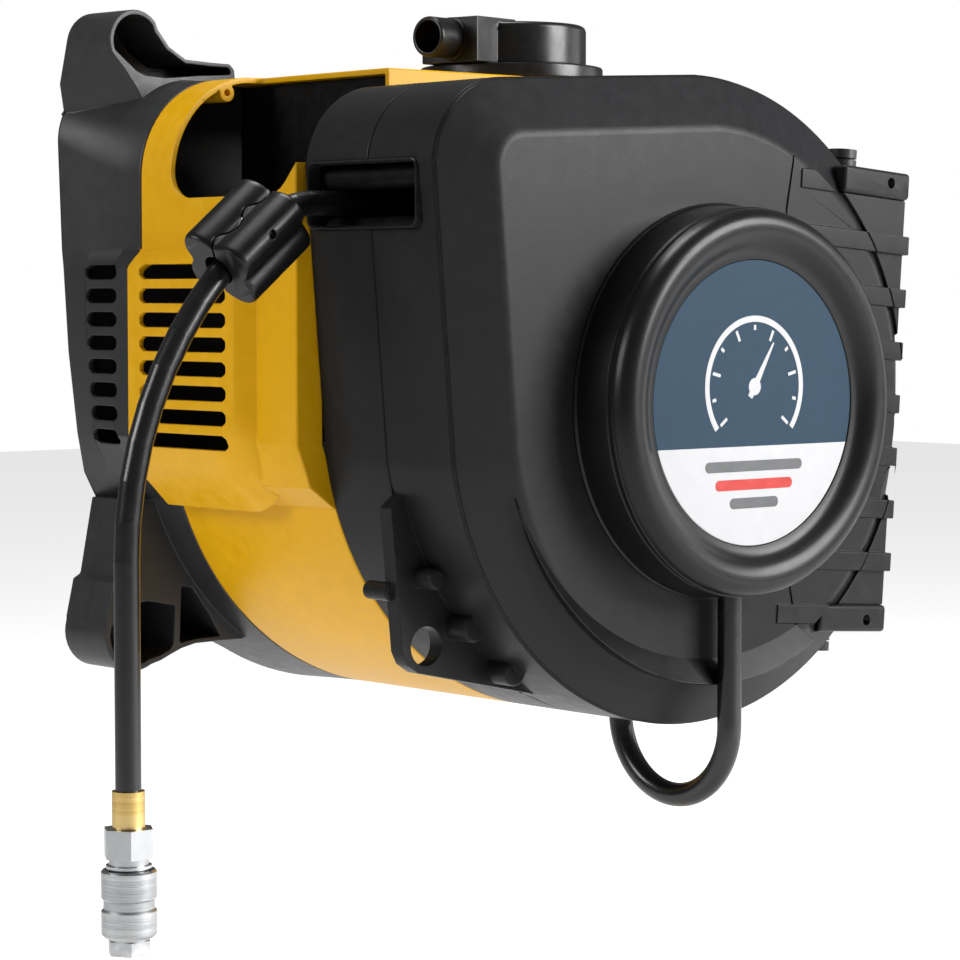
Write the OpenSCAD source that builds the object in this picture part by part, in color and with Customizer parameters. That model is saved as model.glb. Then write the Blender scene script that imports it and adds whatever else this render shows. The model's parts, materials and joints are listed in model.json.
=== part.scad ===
// Wall-mounted air compressor with a retractable hose reel on its front.
// Origin: centre of the four wall screws, on the wall plane (Y = 0).
// +Z is up, the front of the machine faces -Y, +X is to the right seen from the front.

/* [Reel casing] */
// Radius of the round part of the reel casing
case_r = 161; // [158:1:163]
// Depth of the side wall of the reel casing
case_side_d = 95; // [92:1:100]
// Height of the hub axis over the centre of the wall screws
hub_z = -30; // [-31:1:-29]
// Wall thickness of the moulded shells
wall = 3; // [2.4:0.2:3.2]

/* [Hub] */
// Radius of the hub cover at its front rim
hub_r = 95; // [92:1:98]
// Height of the hub cover over the face of the casing
hub_h = 33; // [30:1:36]
// Radius of the printed disc
label_r = 69.5; // [60:0.5:72]

/* [Body] */
// Depth of the black housing that stands on the wall
rear_d = 58; // [56:1:60]
// Depth of the yellow shell
mid_d = 128; // [126:1:130]
// Half width of the yellow shell
side_x = 176; // [174:1:178]
// Height of the roof of the yellow shell at its middle
roof_z = 136; // [134:1:138]

/* [Wall screws] */
// Distance between the wall screws, left to right
bolt_dx = 336; // [330:1:340]
// Distance between the wall screws, top to bottom
bolt_dz = 300; // [296:1:302]
// Radius of each hole for a wall screw
bolt_hole_r = 3.5; // [2.5:0.5:4]

/* [Hose] */
// Outside radius of the hose
hose_r = 6; // [5:0.5:6]
// Radius of the centre line where the hose leaves the drum
wind_r = 96; // [95:1:97]
// Distance of the hose plane from the wall
hose_plane = 205; // [203:1:207]

/* [Compressor pump] */
// Height of the motor shaft
shaft_z = -20; // [-20:1:-19]
// Distance of the motor shaft from the wall
shaft_plane = 118; // [116:1:120]
// Offset of the eccentric, half of the stroke
crank_r = 9; // [6:1:9]
// Radius of the piston
piston_r = 24; // [22:1:24]

/* [Hidden] */
$fn = 64;
seam_y = -rear_d;
case_y = seam_y - mid_d;
case_mid_y = case_y - 47;
edge_y = case_y - case_side_d;
face_y = edge_y - 15;
hub_y = face_y - hub_h;
bevel_in = 27;
gap = 0.1;
fit = 0.05;
shaft_y = -shaft_plane;
hose_y = -hose_plane;
hose_z = hub_z + wind_r;
// where the supply hose leaves the hub, and where it enters the casing
lead_y = face_y - 9.8;
supply_y = case_y - 43;
crank_x = -35;
pack_r = 88;
drum_r = 127;
pad_t = 1.9;
// angles of the screws that hold the reel casing, seen from the front
screw_angles = [35, 145, 178, 325];
// places of the four screws that join the two body shells
boss_spots = [[-166, 60], [166, 60], [-124, -117], [124, -117]];

// ---------- helpers ----------

// Extrudes an outline drawn in X and Z from y_rear forward to y_front.
module slab(y_rear, y_front) {
    translate([0, y_rear, 0]) rotate([90, 0, 0]) linear_extrude(y_rear - y_front) children();
}

// Cylinder along Y with its centre line at x and z.
module ycyl(x, z, y_rear, y_front, r) {
    translate([x, y_rear, z]) rotate([90, 0, 0]) cylinder(r = r, h = y_rear - y_front);
}

// Cylinder along X with its centre line at y and z.
module xcyl(x0, x1, y, z, r) {
    translate([x0, y, z]) rotate([0, 90, 0]) cylinder(r = r, h = x1 - x0);
}

// Cylinder along Z.
module zcyl(x, y, z0, z1, r) {
    translate([x, y, z0]) cylinder(r = r, h = z1 - z0);
}

// Box given by its lowest and highest corners.
module span(lo, hi) {
    translate(lo) cube(hi - lo);
}

// Points of an arc about c from angle a0 to a1, in n steps.
function arc(c, r, a0, a1, n) =
    [for (i = [0:n]) c + r * [cos(a0 + (a1 - a0) * i / n), sin(a0 + (a1 - a0) * i / n)]];

function flip(p) = [for (i = [len(p) - 1:-1:0]) [-p[i][0], p[i][1]]];

// Outline of the reel casing, inset by g: round, with a squarer shoulder at the outlet.
function case_outline(g) = concat(
    arc([0, hub_z], case_r - g, 90, -171, 44),
    arc([-127, 80], 44 - g, 175, 94, 8)
);

// Left half of the outline of the body shells, inset by g, from the roof down to the bottom.
function body_half(g) = concat(
    arc([-side_x + 52, roof_z - 54], 52 - g, 93, 180, 10),
    [[-side_x + g, 44], [-side_x - 8 + g, 35], [-side_x - 9 + g, -50]],
    arc([0, hub_z], case_r - g, 199, 270, 14)
);
function body_outline(g) = concat(body_half(g), flip(body_half(g)));

// Row of eight louvre slots on both side walls.
module louvres(y_rear, y_front) {
    for (i = [0:7])
        span([-220, y_front, 30.5 - 12.1 * i], [220, y_rear, 37.8 - 12.1 * i]);
}

// Extrudes an outline centred on the hub axis, from y_rear forward by h.
module slab_at_hub(y_rear, h) {
    translate([0, y_rear, hub_z]) rotate([90, 0, 0]) linear_extrude(h) children();
}

// Ring of length l along Z with a bore.
module ring(r_out, r_in, l) {
    difference() {
        cylinder(r = r_out, h = l);
        translate([0, 0, -1]) cylinder(r = r_in, h = l + 2);
    }
}

// ---------- body shells ----------

// One hollow ear for a wall screw, at its place on the left.
module ear(x, z, up) {
    slab(0, -38) polygon(concat(
        arc([x, z], 19, up > 0 ? 45 : 300, up > 0 ? 200 : 165, 12),
        up > 0 ? [[-178, 84], [-120, 100], [-100, 139], [-134, 142]]
               : [[-166, -84], [-130, -90], [-100, -145]]
    ));
}

module ear_pocket(x, z, up) {
    slab(-4, -60) polygon(concat(
        arc([x, z], 15.5, up > 0 ? 45 : 300, up > 0 ? 200 : 165, 12),
        up > 0 ? [[-171, 134], [-128, 138.5]] : [[-166, -132], [-136, -140]]
    ));
    ycyl(x, z, 1, -20, bolt_hole_r);
}

// Flat lugs for the wall screws on the right.
module flat_lugs() {
    lug_d = 10;
    head_r = 13;
    slab(0, -lug_d) polygon(concat(
        arc([bolt_dx / 2, bolt_dz / 2], head_r, -30, 140, 12), [[110, 128], [160, 100]]));
    slab(0, -lug_d) polygon(concat(
        arc([bolt_dx / 2, -bolt_dz / 2], head_r, 30, -140, 12), [[100, -145], [150, -70]]));
}

module rear_housing() {
    color("#3a3b3d") difference() {
        union() {
            difference() {
                slab(0, seam_y + gap) polygon(body_outline(0));
                slab(-wall - pad_t, seam_y - 1) polygon(body_outline(wall));
            }
            for (p = boss_spots) ycyl(p[0], p[1], -1, seam_y + gap, 7.5);
            ear(-bolt_dx / 2, bolt_dz / 2, 1);
            ear(-bolt_dx / 2, -bolt_dz / 2, -1);
            flat_lugs();
        }
        for (p = boss_spots) {
            ycyl(p[0], p[1], 1, -40, 4.6);
            ycyl(p[0], p[1], -39, seam_y - 1, 2);
        }
        for (x = [-1, 1], z = [-1, 1]) ycyl(x * 110, z * 80, 1, -pad_t - 0.1, 12.1);
        louvres(-20, -48);
        ear_pocket(-bolt_dx / 2, bolt_dz / 2, 1);
        ear_pocket(-bolt_dx / 2, -bolt_dz / 2, -1);
        for (s = [-1, 1]) ycyl(bolt_dx / 2, s * bolt_dz / 2, 1, -20, bolt_hole_r);
        xcyl(160, 200, -30, 60, 6.1);
    }
}

// Thin rubber pads between the housing and the wall, let into the back panel.
module wall_pads() {
    color("#202020") for (x = [-1, 1], z = [-1, 1])
        ycyl(x * 110, z * 80, 0, -pad_t, 12);
}

module middle_shell() {
    // the opening is lower behind than where it meets the reel casing
    low = [[-230, 71], [-118, 71], [-118, 150], [-230, 150]];
    high = [[-230, 79], [-118, 79], [-118, 150], [-230, 150]];
    color("#e0a80c") difference() {
        union() {
            difference() {
                slab(seam_y, case_y + gap) polygon(body_outline(0));
                slab(seam_y + 1, case_y + wall) polygon(body_outline(wall));
                slab(seam_y + 1, case_y - 1) polygon(body_outline(16));
            }
            for (p = boss_spots) ycyl(p[0], p[1], seam_y, seam_y - 30, 7.5);
            ycyl(-140, 125.5, seam_y, seam_y - 34, 4.6);
        }
        louvres(-68, -141);
        slab(-84, -172) polygon(low);
        slab(-171, case_y - 1) polygon(high);
        zcyl(25, shaft_y, 120, 140, 30);
        span([side_x - 8, -132.6, 91.4], [side_x + 8, -107.4, 108.6]);
        ycyl(-140, 125.5, seam_y - 20, seam_y - 40, 1.6);
        ycyl(0, -178, case_y + 8, case_y - 5, 7.5);
        for (p = boss_spots) ycyl(p[0], p[1], seam_y + 1, seam_y - 24, 1.6);
    }
}

// Screws that hold the yellow shell to the black housing, from behind.
module shell_screws() {
    color("#8c8f92") for (p = boss_spots) {
        ycyl(p[0], p[1], -36, -39.9, 4);
        ycyl(p[0], p[1], -39, seam_y - 22, 1.5);
    }
}

// Dark tray behind the big opening in the left side of the yellow shell.
module inner_cowl() {
    color("#1c1d1e") {
        span([-113, case_y + 5, 66.1], [-110, seam_y - 2, 130]);
        span([-170, case_y + 5, 63], [-110, seam_y - 36, 66]);
    }
}

// ---------- reel casing ----------

module outlet_cut() {
    span([-190, -270, 53.4], [-150, -188.5, 86]);
}

module reel_rear_half() {
    color("#4a4b4d") difference() {
        union() {
            difference() {
                slab(case_y, case_mid_y) polygon(case_outline(0));
                beyond_block();
                difference() {
                    slab(case_y - wall, case_mid_y - 1) polygon(case_outline(wall));
                    beyond_block(wall);
                }
            }
        }
        outlet_cut();
        ycyl(0, hub_z, case_y + 1, case_y - 9, 8.1);
        zcyl(0, supply_y, -200, -170, 7.5);
        ycyl(0, -178, case_y + 1, case_y - 9, 7.5);
        for (a = screw_angles)
            ycyl(110 * cos(a), hub_z + 110 * sin(a), case_y + 1, case_y - 9, 2.3);
    }
}

module reel_front_half() {
    color("#515254") difference() {
        union() {
            difference() {
                union() {
                    slab(case_mid_y - gap, edge_y) polygon(case_outline(0));
                    hull() {
                        slab(edge_y, edge_y - 0.2) polygon(case_outline(0));
                        slab(face_y + 0.2, face_y) polygon(case_outline(bevel_in));
                    }
                }
                beyond_block();
            }
            crescent_lip();
            hinge_block();
            corner_lug();
        }
        difference() {
            union() {
                slab(case_mid_y + 1, edge_y + 2) polygon(case_outline(wall));
                slab(edge_y + 3, face_y + wall) polygon(case_outline(bevel_in + 4));
            }
            beyond_block(wall);
        }
        outlet_cut();
        zcyl(0, supply_y, -200, -180, 7.5);
        ycyl(0, hub_z, face_y + wall + 1, face_y - 5, 40);
        block_frame() for (z = [96.5, -130.5]) zcyl(pin_x, pin_y, z, z + 55, 4.1);
    }
}

// Lug that squares off the lower left corner of the casing, with its hole.
lug_x = -142;
lug_z = -145;
module corner_lug() {
    lug_d = 9;
    difference() {
        union() {
            slab(case_mid_y - gap, case_mid_y - lug_d)
                polygon([[-164, -78], [-157, -147], [-154, -153], [-147, -157.6], [-69, -174.7], [-60, -150], [-140, -60]]);
            for (p = [[-146, -112], [-124, -137], [-98, -160]])
                ycyl(p[0], p[1], case_mid_y - gap, case_mid_y - lug_d - 12, 5);
        }
        ycyl(lug_x, lug_z, case_mid_y + 1, case_mid_y - lug_d - 1, 9.4);
    }
}

// Raised crescent under the hub, which rises outwards from the face to a ridge.
module crescent_lip() {
    lip_h = 3.6;
    ridge_r = 139.3;
    inner_r = 149;
    slope = 12 / lip_h;
    difference() {
        ycyl(0, hub_z, face_y + 1, face_y - lip_h, ridge_r);
        translate([0, face_y + 1, hub_z + 22]) rotate([90, 0, 0])
            cylinder(r1 = inner_r - slope, r2 = inner_r + slope * (lip_h + 1), h = lip_h + 2);
        slab(face_y + 2, face_y - 10)
            polygon([[59, 0], [59, -144], [72, -158], [72, -220], [200, -220], [200, 0]]);
    }
}

// The block with the swivel pins leans with the taper of the casing.
block_lean = 4.25;
block_x = 134.6;
block_top = 111.5;
block_low = -99.3;
cap_h = 14;
rib_h = 9.6;
rib_pitch = 27.5;
pin_x = 119.8;
washer_r = 7.5;
pin_y = -262;
module block_frame() {
    translate([0, 0, hub_z]) rotate([0, block_lean, 0]) children();
}

// Everything to the right of the block's flat side, moved in by g.
module beyond_block(g = 0) {
    block_frame() span([block_x - g, -400, -250], [320, 0, 250]);
}

// The round body of the casing with its bevel, as a cutter, grown by g.
module round_body(g) {
    ycyl(0, hub_z, case_y + 1, edge_y, case_r + g);
    translate([0, edge_y, hub_z]) rotate([90, 0, 0])
        cylinder(r1 = case_r + g, r2 = case_r - bevel_in + g, h = edge_y - face_y);
}

module hinge_block() {
    block_frame() {
        difference() {
            span([84, face_y + 1.5, block_low], [block_x, case_mid_y - gap, block_top]);
            rotate([0, -block_lean, 0]) translate([0, 0, -hub_z])
                slab(case_mid_y + 1, edge_y - 2) polygon(case_outline(1));
            rotate([90, 0, 0]) cylinder(r = 141, h = -face_y + 5);
        }
        difference() {
            for (i = [0:6]) let (z = 83.3 - rib_pitch * i) {
                span([52, face_y - 1, z], [block_x, face_y + 2, z + rib_h]);
                span([block_x - 2, face_y - 1, z], [block_x + 2, case_mid_y - gap, z + rib_h]);
            }
            translate([0, face_y + 1, 0]) rotate([90, 0, 0]) cylinder(r = 101.6, h = 5);
        }
    }
}

// Screws that close the two halves of the reel casing on the body.
module reel_screws() {
    color("#8c8f92") for (a = screw_angles)
        translate([110 * cos(a), case_y, hub_z + 110 * sin(a)]) rotate([90, 0, 0]) {
            translate([0, 0, -10]) cylinder(r = 2.2, h = 13);
            translate([0, 0, wall + 0.02]) cylinder(r = 4, h = 2.4);
        }
}

module outlet_bezel() {
    lip = 3;
    color("#333436") difference() {
        span([-171.5, -270, 53.4], [-164.8, -188.6, 86]);
        span([-180, -270 + lip, 53.4 + lip], [-160, -188.6 - lip, 86 - lip]);
    }
}

module hub_cover() {
    // half profile: radius and height over the face
    outer = concat([[97.5, 0.05], [97.5, 1.2], [96.8, 2.4], [hub_r, 14]],
        [[hub_r, hub_h - 8]],
        arc([hub_r - 8, hub_h - 8], 8, 0, 90, 8),
        arc([hub_r - 8, hub_h - 12], 12, 90, 140, 5),
        [[label_r + 4, hub_h - 6.2], [label_r + 0.3, hub_h - 6.6], [0, hub_h - 6.6]]);
    inner = [[0, hub_h - 8.6], [label_r + 4, hub_h - 8.6], [hub_r - 17, hub_h - 8],
        [hub_r - 11, hub_h - 5], [hub_r - 5, hub_h - 7], [hub_r - 3.4, hub_h - 11],
        [hub_r - 3, 7], [93, 3], [93, 0.05]];
    color("#3c3d3f") difference() {
        translate([0, face_y, hub_z]) rotate([90, 0, 0])
            rotate_extrude($fn = 96) polygon(concat(outer, inner));
        zcyl(0, lead_y, hub_z - 120, hub_z - 60, hose_r + 0.4);
    }
}

module label_disc() {
    color("#40525f") ycyl(0, hub_z, hub_y + 6.55, hub_y + 5.8, label_r);
}

// Caps over the ends of the ribbed block.
module hinge_block_cap() {
    color("#46474a") difference() {
        block_frame() for (z = [block_top + 0.1, block_low - cap_h - 0.1])
            span([84, face_y - 1, z], [block_x + 3, case_mid_y + 2, z + cap_h]);
        round_body(1);
        crescent_cut();
        block_frame() {
            for (z = [96.5, -130.5]) zcyl(pin_x, pin_y, z, z + 55, 4.1);
            for (z = [block_top + 8, block_low - 8]) ycyl(pin_x, z, face_y + 8, face_y - 5, 2.6);
        }
    }
}
module crescent_cut() {
    ycyl(0, hub_z, face_y + 1, face_y - 5, 140.3);
}

// Two stub pins with washers, one at each end of the block.
module pivot_pin() {
    color("#303133") block_frame() for (m = [0, 1]) let (z = m == 0 ? block_top : block_low) {
        s = m == 0 ? 1 : -1;
        zcyl(pin_x, pin_y, min(z - 14 * s, z + 26 * s), max(z - 14 * s, z + 26 * s), 4);
        for (k = [18.6, 24.1]) zcyl(pin_x, pin_y, z + k * s - 2.3, z + k * s + 2.3, washer_r);
    }
}

// ---------- air filter on the roof ----------

cap_x = 25;
module filter_base() {
    color("#232426") translate([cap_x, shaft_y, 0]) {
        difference() {
            union() {
                translate([0, 0, roof_z + 0.6]) cylinder(r = 49, h = 7.4);
                translate([0, 0, roof_z - 12]) cylinder(r = 29.5, h = 13);
            }
            translate([0, 0, roof_z - 13]) cylinder(r = 25, h = 30);
        }
    }
}

module filter_cap() {
    spout_turn = 9;
    z0 = roof_z + 8.1;
    color("#202123") translate([cap_x, shaft_y, z0]) {
        difference() {
            union() {
                cylinder(r = 40, h = 22);
                rotate(spout_turn) span([-52, -19, 0], [-20, 19, 23.6]);
                rotate(spout_turn) xcyl(-70, -40, 0, 12.6, 10.5);
            }
            translate([0, 0, -1]) cylinder(r = 37, h = 20);
            rotate(spout_turn) xcyl(-71, -30, 0, 12.6 - 3.4, 0.5);
            rotate(spout_turn) translate([-71, 0, 12.6]) rotate([0, 90, 0]) cylinder(r = 8.2, h = 35);
        }
    }
}

module filter_element() {
    color("#d8d4c4") translate([cap_x, shaft_y, roof_z + 8.2]) ring(33, 25, 16);
}

// ---------- hose outlet ----------

module outlet_frame() {
    color("#2c2d2f") difference() {
        union() {
            for (y = [-189.7, -270.5]) span([-163.9, y - 2.5, 46], [-150, y, 92]);
            span([-152, -270.5, 88.6], [-150, -190, 92]);
            span([-152, -270.5, 46], [-150, -190, 46.8]);
        }
        for (z = [hose_z - 12.5, hose_z + 12.5]) ycyl(-158, z, -180, -280, 1.6);
    }
}

module roller(z) {
    translate([-158, -193, z]) rotate([90, 0, 0]) ring(6, 1.6, 76.4);
}
module upper_roller() { color("#2a2b2c") roller(hose_z + 12.5); }
module lower_roller() { color("#2a2b2c") roller(hose_z - 12.5); }
module roller_pins() {
    color("#b8bbbe") for (z = [hose_z - 12.5, hose_z + 12.5]) ycyl(-158, z, -189.8, -272.8, 1.5);
}

// ---------- reel drum ----------

module drum_axle() {
    color("#b8bbbe") {
        ycyl(0, hub_z, case_y + 6, face_y + 6, 8);
        ycyl(0, hub_z, case_y - wall - 0.1, case_y - wall - 1.6, 14);
    }
}

module reel_drum() {
    color("#606266") translate([0, -194, hub_z]) rotate([90, 0, 0]) {
        difference() {
            union() {
                cylinder(r = drum_r, h = 2.5);
                cylinder(r = 55, h = 80);
                translate([0, 0, 77.5]) cylinder(r = drum_r, h = 2.5);
            }
            translate([0, 0, 3]) cylinder(r = 51, h = 80);
            translate([0, 0, -1]) cylinder(r = 8.1, h = 90);
            for (a = [0:45:315]) rotate(a) translate([107, 0, -1]) cylinder(r = 12, h = 90);
        }
    }
}

module hose_pack() {
    color("#18191a") translate([0, -197, hub_z]) rotate([90, 0, 0])
        for (i = [0:5]) translate([0, 0, i * 12.3]) ring(pack_r, 55.2, 12.2);
}

module spring_cover() {
    color("#8c8f92") translate([0, -268, hub_z]) rotate([90, 0, 0]) ring(50.8, 18, 1.5);
}

// Flat coil spring between the axle and the drum core, drawn as its wound pack.
module main_spring() {
    turns = 7;
    step = 5.6;
    steel = 0.7;
    n = turns * 20;
    function spiral(off) = [for (i = [0:n]) let (a = 18 * i, r = 9 + off + step * i / 20) r * [cos(a), sin(a)]];
    inside = spiral(0);
    color("#6d7276") slab_at_hub(-206, 52)
        polygon(concat(spiral(steel), [for (i = [n:-1:0]) inside[i]]));
}

module ratchet_wheel() {
    teeth = 12;
    tip_r = 30;
    root_r = 25;
    color("#8c8f92") translate([0, -274.05, hub_z]) rotate([90, 0, 0]) difference() {
        linear_extrude(5) polygon([for (i = [0:teeth - 1], k = [0, 1])
            let (a = 360 / teeth * i) k == 0 ? tip_r * [cos(a), sin(a)] : root_r * [cos(a + 4), sin(a + 4)]]);
        translate([0, 0, -1]) cylinder(r = 8.1, h = 10);
    }
}

pawl_x = -24;
pawl_z = hub_z + 40;
module pawl() {
    color("#b08d3c") difference() {
        slab(-275.5, -279.5) polygon([[pawl_x - 6, pawl_z + 2], [pawl_x - 3, pawl_z + 6],
            [pawl_x + 3, pawl_z + 6], [pawl_x + 7, pawl_z], [pawl_x + 13, pawl_z - 6],
            [pawl_x + 8, pawl_z - 7], [pawl_x, pawl_z - 6]]);
        ycyl(pawl_x, pawl_z, -270, -285, 2.6);
    }
}

module pawl_pin() {
    color("#b8bbbe") {
        ycyl(pawl_x, pawl_z, -275, -291, 2.5);
        span([pawl_x - 8, -292.9, pawl_z - 8], [pawl_x + 8, -291, pawl_z + 8]);
    }
}

// Rotary union on the front end of the axle, inside the hub cover.
module swivel_joint() {
    color("#c59a3d") difference() {
        union() {
            ycyl(0, hub_z, face_y + 5.9, face_y - 16, 12);
            zcyl(0, lead_y, hub_z - 24, hub_z, 6.4);
        }
        zcyl(0, lead_y, hub_z - 26, hub_z - 4, 3.5);
    }
}

module lead_in_hose() {
    loop_r = (supply_y - lead_y) / 2;
    turn_z = -190;
    color("#1b1c1d") {
        zcyl(0, lead_y, turn_z, hub_z - 24.1, hose_r);
        translate([0, lead_y + loop_r, turn_z]) rotate([0, 90, 0]) rotate(-90)
            rotate_extrude(angle = 180) translate([loop_r, 0]) circle(r = hose_r);
        zcyl(0, supply_y, turn_z, -186, hose_r);
    }
}

// Elbow that takes the supply hose through the back plate into the body.
module inlet_elbow() {
    color("#c59a3d") {
        zcyl(0, supply_y, -185.9, -172, 7);
        ycyl(0, -178.5, -120, supply_y - 6, 6.4);
        zcyl(0, -126, -178.5, -155.9, 5);
    }
}

// ---------- hose tail and coupler ----------

// The hose runs level out of the casing, bends over the roller and hangs down.
tail_x = -180;
bend1_r = 45;
bend1_a = 35;
bend2_r = 188;
elbow_x = tail_x - bend1_r * sin(bend1_a);
elbow_z = hose_z - bend1_r * (1 - cos(bend1_a));
straight_l = 4;
centre2_x = elbow_x - straight_l * cos(bend1_a) + bend2_r * sin(bend1_a);
centre2_z = elbow_z - straight_l * sin(bend1_a) - bend2_r * cos(bend1_a);
hang_x = centre2_x - bend2_r;
end_z = -218;
coupler_l = 60;

module hose_bend(cx, cz, r, a0, a1) {
    translate([cx, hose_y, cz]) rotate([90, 0, 0]) rotate(a0)
        rotate_extrude(angle = a1 - a0) translate([r, 0]) circle(r = hose_r);
}

module hose_tail() {
    color("#1b1c1d") {
        xcyl(tail_x, -22, hose_y, hose_z, hose_r);
        hose_bend(tail_x, hose_z - bend1_r, bend1_r, 90, 90 + bend1_a);
        translate([elbow_x, hose_y, elbow_z]) rotate([0, -90 - bend1_a, 0])
            cylinder(r = hose_r, h = straight_l);
        hose_bend(centre2_x, centre2_z, bend2_r, 90 + bend1_a, 180);
        difference() {
            zcyl(hang_x, hose_y, end_z, centre2_z, hose_r);
            zcyl(hang_x, hose_y, end_z - 1, end_z + 14, 4);
        }
    }
}

stop_a = 90 + bend1_a + 4;
module stop_frame() {
    translate([centre2_x + bend2_r * cos(stop_a), hose_y, centre2_z + bend2_r * sin(stop_a)])
        rotate([0, 90 - stop_a, 0]) rotate([25, 0, 0]) children();
}

// Two rubber halves clamped on the hose, which keep the end from being pulled in.
module stopper_halves() {
    color("#222325") stop_frame() difference() {
        union() for (s = [-1, 1]) hull() {
            translate([-22, s > 0 ? 0.4 : -17, -17]) cube([44, 16.6, 34]);
            translate([-18, s > 0 ? 0.4 : -19.5, -12]) cube([36, 19.1, 24]);
        }
        translate([-40, 0, 0]) rotate([0, 90, 0]) cylinder(r = hose_r + 1.7, h = 80);
        for (z = [-12, 12]) translate([0, 30, z]) rotate([90, 0, 0]) cylinder(r = 2.1, h = 60);
    }
}

module stopper_screws() {
    color("#8c8f92") stop_frame() for (z = [-12, 12]) translate([0, 16, z]) rotate([90, 0, 0])
        cylinder(r = 2, h = 32);
}

module hose_ferrule() {
    color("#c59a3d") translate([hang_x, hose_y, end_z - 2]) difference() {
        cylinder(r = 7.6, h = 17);
        translate([0, 0, 2]) cylinder(r = hose_r + fit, h = 20);
        translate([0, 0, -1]) cylinder(r = 3.9, h = 30);
    }
}

module coupler_body() {
    color("#b8bbbe") translate([hang_x, hose_y, end_z - coupler_l]) difference() {
        union() {
            translate([0, 0, 44.5]) cylinder(r = 12.3, h = 13.4, $fn = 6);
            translate([0, 0, 6]) cylinder(r = 9.2, h = 39);
            cylinder(r = 10.6, h = 6.5, $fn = 6);
            translate([0, 0, 57.8]) cylinder(r = 3.8, h = 12);
        }
        translate([0, 0, -1]) cylinder(r = 5.2, h = 19);
        translate([0, 0, 17]) cylinder(r = 6.2, h = 25);
        translate([0, 0, 40]) cylinder(r = 2.5, h = 60);
    }
}

module coupler_sleeve() {
    color("#a9acaf") translate([hang_x, hose_y, end_z - coupler_l + 8])
        rotate_extrude($fn = 64) polygon([[9.3, 0], [11.6, 0], [12.8, 1.4], [12.8, 12], [11.8, 13.2],
            [11.8, 17], [12.8, 18.2], [12.8, 30], [12, 31], [10.8, 31], [10.8, 6], [9.3, 6]]);
}

module sleeve_spring() {
    color("#8c8f92") translate([hang_x, hose_y, end_z - coupler_l + 14.1]) for (i = [0:6])
        translate([0, 0, i * 4.3]) ring(10.6, 9.4, 1.2);
}

module coupler_valve() {
    color("#c59a3d") translate([hang_x, hose_y, end_z - coupler_l + 18]) ring(6.15, 2, 16);
}

// ---------- motor and pump ----------

module pump_bracket() {
    color("#8c8f92") difference() {
        union() {
            span([-64, -178, -78], [122, -66, -75.1]);
            span([-64, -68, -78], [122, -66, -56]);
        }
        for (x = [-50, 20, 88], y = [shaft_y - 40, shaft_y + 40]) zcyl(x, y, -80, -70, 4.1);
    }
}

module rubber_mounts() {
    color("#1b1c1d") for (x = [-50, 20, 88], y = [shaft_y - 40, shaft_y + 40]) {
        zcyl(x, y, -79.5, -75, 4);
        zcyl(x, y, -75, -70, 8);
    }
}

module motor_housing() {
    color("#5d6064") difference() {
        union() {
            xcyl(4, 102, shaft_y, shaft_z, 50);
            for (x = [20, 88]) span([x - 9, shaft_y - 50, -69.9], [x + 9, shaft_y + 50, -58]);
            for (a = [-40:20:220])
                translate([0, shaft_y, shaft_z]) rotate([a, 0, 0]) span([12, -1, 44], [94, 1, 53]);
        }
        xcyl(8, 98, shaft_y, shaft_z, 46.1);
        xcyl(0, 110, shaft_y, shaft_z, 13.1);
    }
}

module motor_stator() {
    color("#a5793a") difference() {
        xcyl(18, 88, shaft_y, shaft_z, 46);
        xcyl(10, 95, shaft_y, shaft_z, 30.5);
    }
}

module rotor_core() {
    color("#8c8f92") translate([20, shaft_y, shaft_z]) rotate([0, 90, 0]) ring(30, 6.05, 66);
}

module motor_shaft() {
    color("#b8bbbe") xcyl(-50, 126, shaft_y, shaft_z, 6);
}

module shaft_bearings() {
    color("#c8cacc") for (x = [-13.8, 5, 93.5])
        translate([x, shaft_y, shaft_z]) rotate([0, 90, 0]) ring(13, 6.05, x < 0 ? 7 : 8);
}

module cooling_fan() {
    blades = 7;
    color("#2a2b2d") translate([106, shaft_y, shaft_z]) rotate([0, 90, 0]) difference() {
        union() {
            cylinder(r = 13, h = 16);
            for (i = [0:blades - 1]) rotate(i * 360 / blades) rotate([30, 0, 0])
                translate([8, -1.1, 2]) cube([38, 2.2, 14]);
        }
        translate([0, 0, -12]) cylinder(r = 6.05, h = 40);
    }
}

module crankcase() {
    color("#9b9ea1") difference() {
        union() {
            span([-60, shaft_y - 36, -64], [-6, shaft_y + 36, 27.9]);
            span([-60, shaft_y - 48, -69.9], [-40, shaft_y + 48, -60]);
        }
        span([-56, shaft_y - 32, -56], [-14, shaft_y + 32, 23]);
        xcyl(-15, -5, shaft_y, shaft_z, 13.1);
        zcyl(crank_x, shaft_y, 20, 30, piston_r + 1);
    }
}

module eccentric() {
    color("#7b7e82") difference() {
        union() {
            xcyl(-42, -28, shaft_y, shaft_z + crank_r, 17);
            xcyl(-28, -21, shaft_y, shaft_z, 12);
            translate([-27.5, shaft_y, shaft_z]) intersection() {
                rotate([0, 90, 0]) cylinder(r = 28, h = 6);
                span([-1, -30, -30], [7, 30, -4]);
            }
        }
        xcyl(-60, -10, shaft_y, shaft_z, 6.05);
    }
}

rod_l = 62;
module connecting_rod() {
    z = shaft_z + crank_r;
    color("#c8cacc") difference() {
        union() {
            xcyl(-40, -30, shaft_y, z, 21);
            span([-38, shaft_y - 5, z + 15], [-32, shaft_y + 5, z + rod_l]);
            xcyl(-41, -29, shaft_y, z + rod_l, 5.5);
            xcyl(-47, -23, shaft_y, z + rod_l, 4);
        }
        xcyl(-50, -20, shaft_y, z, 17.08);
    }
}

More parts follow.
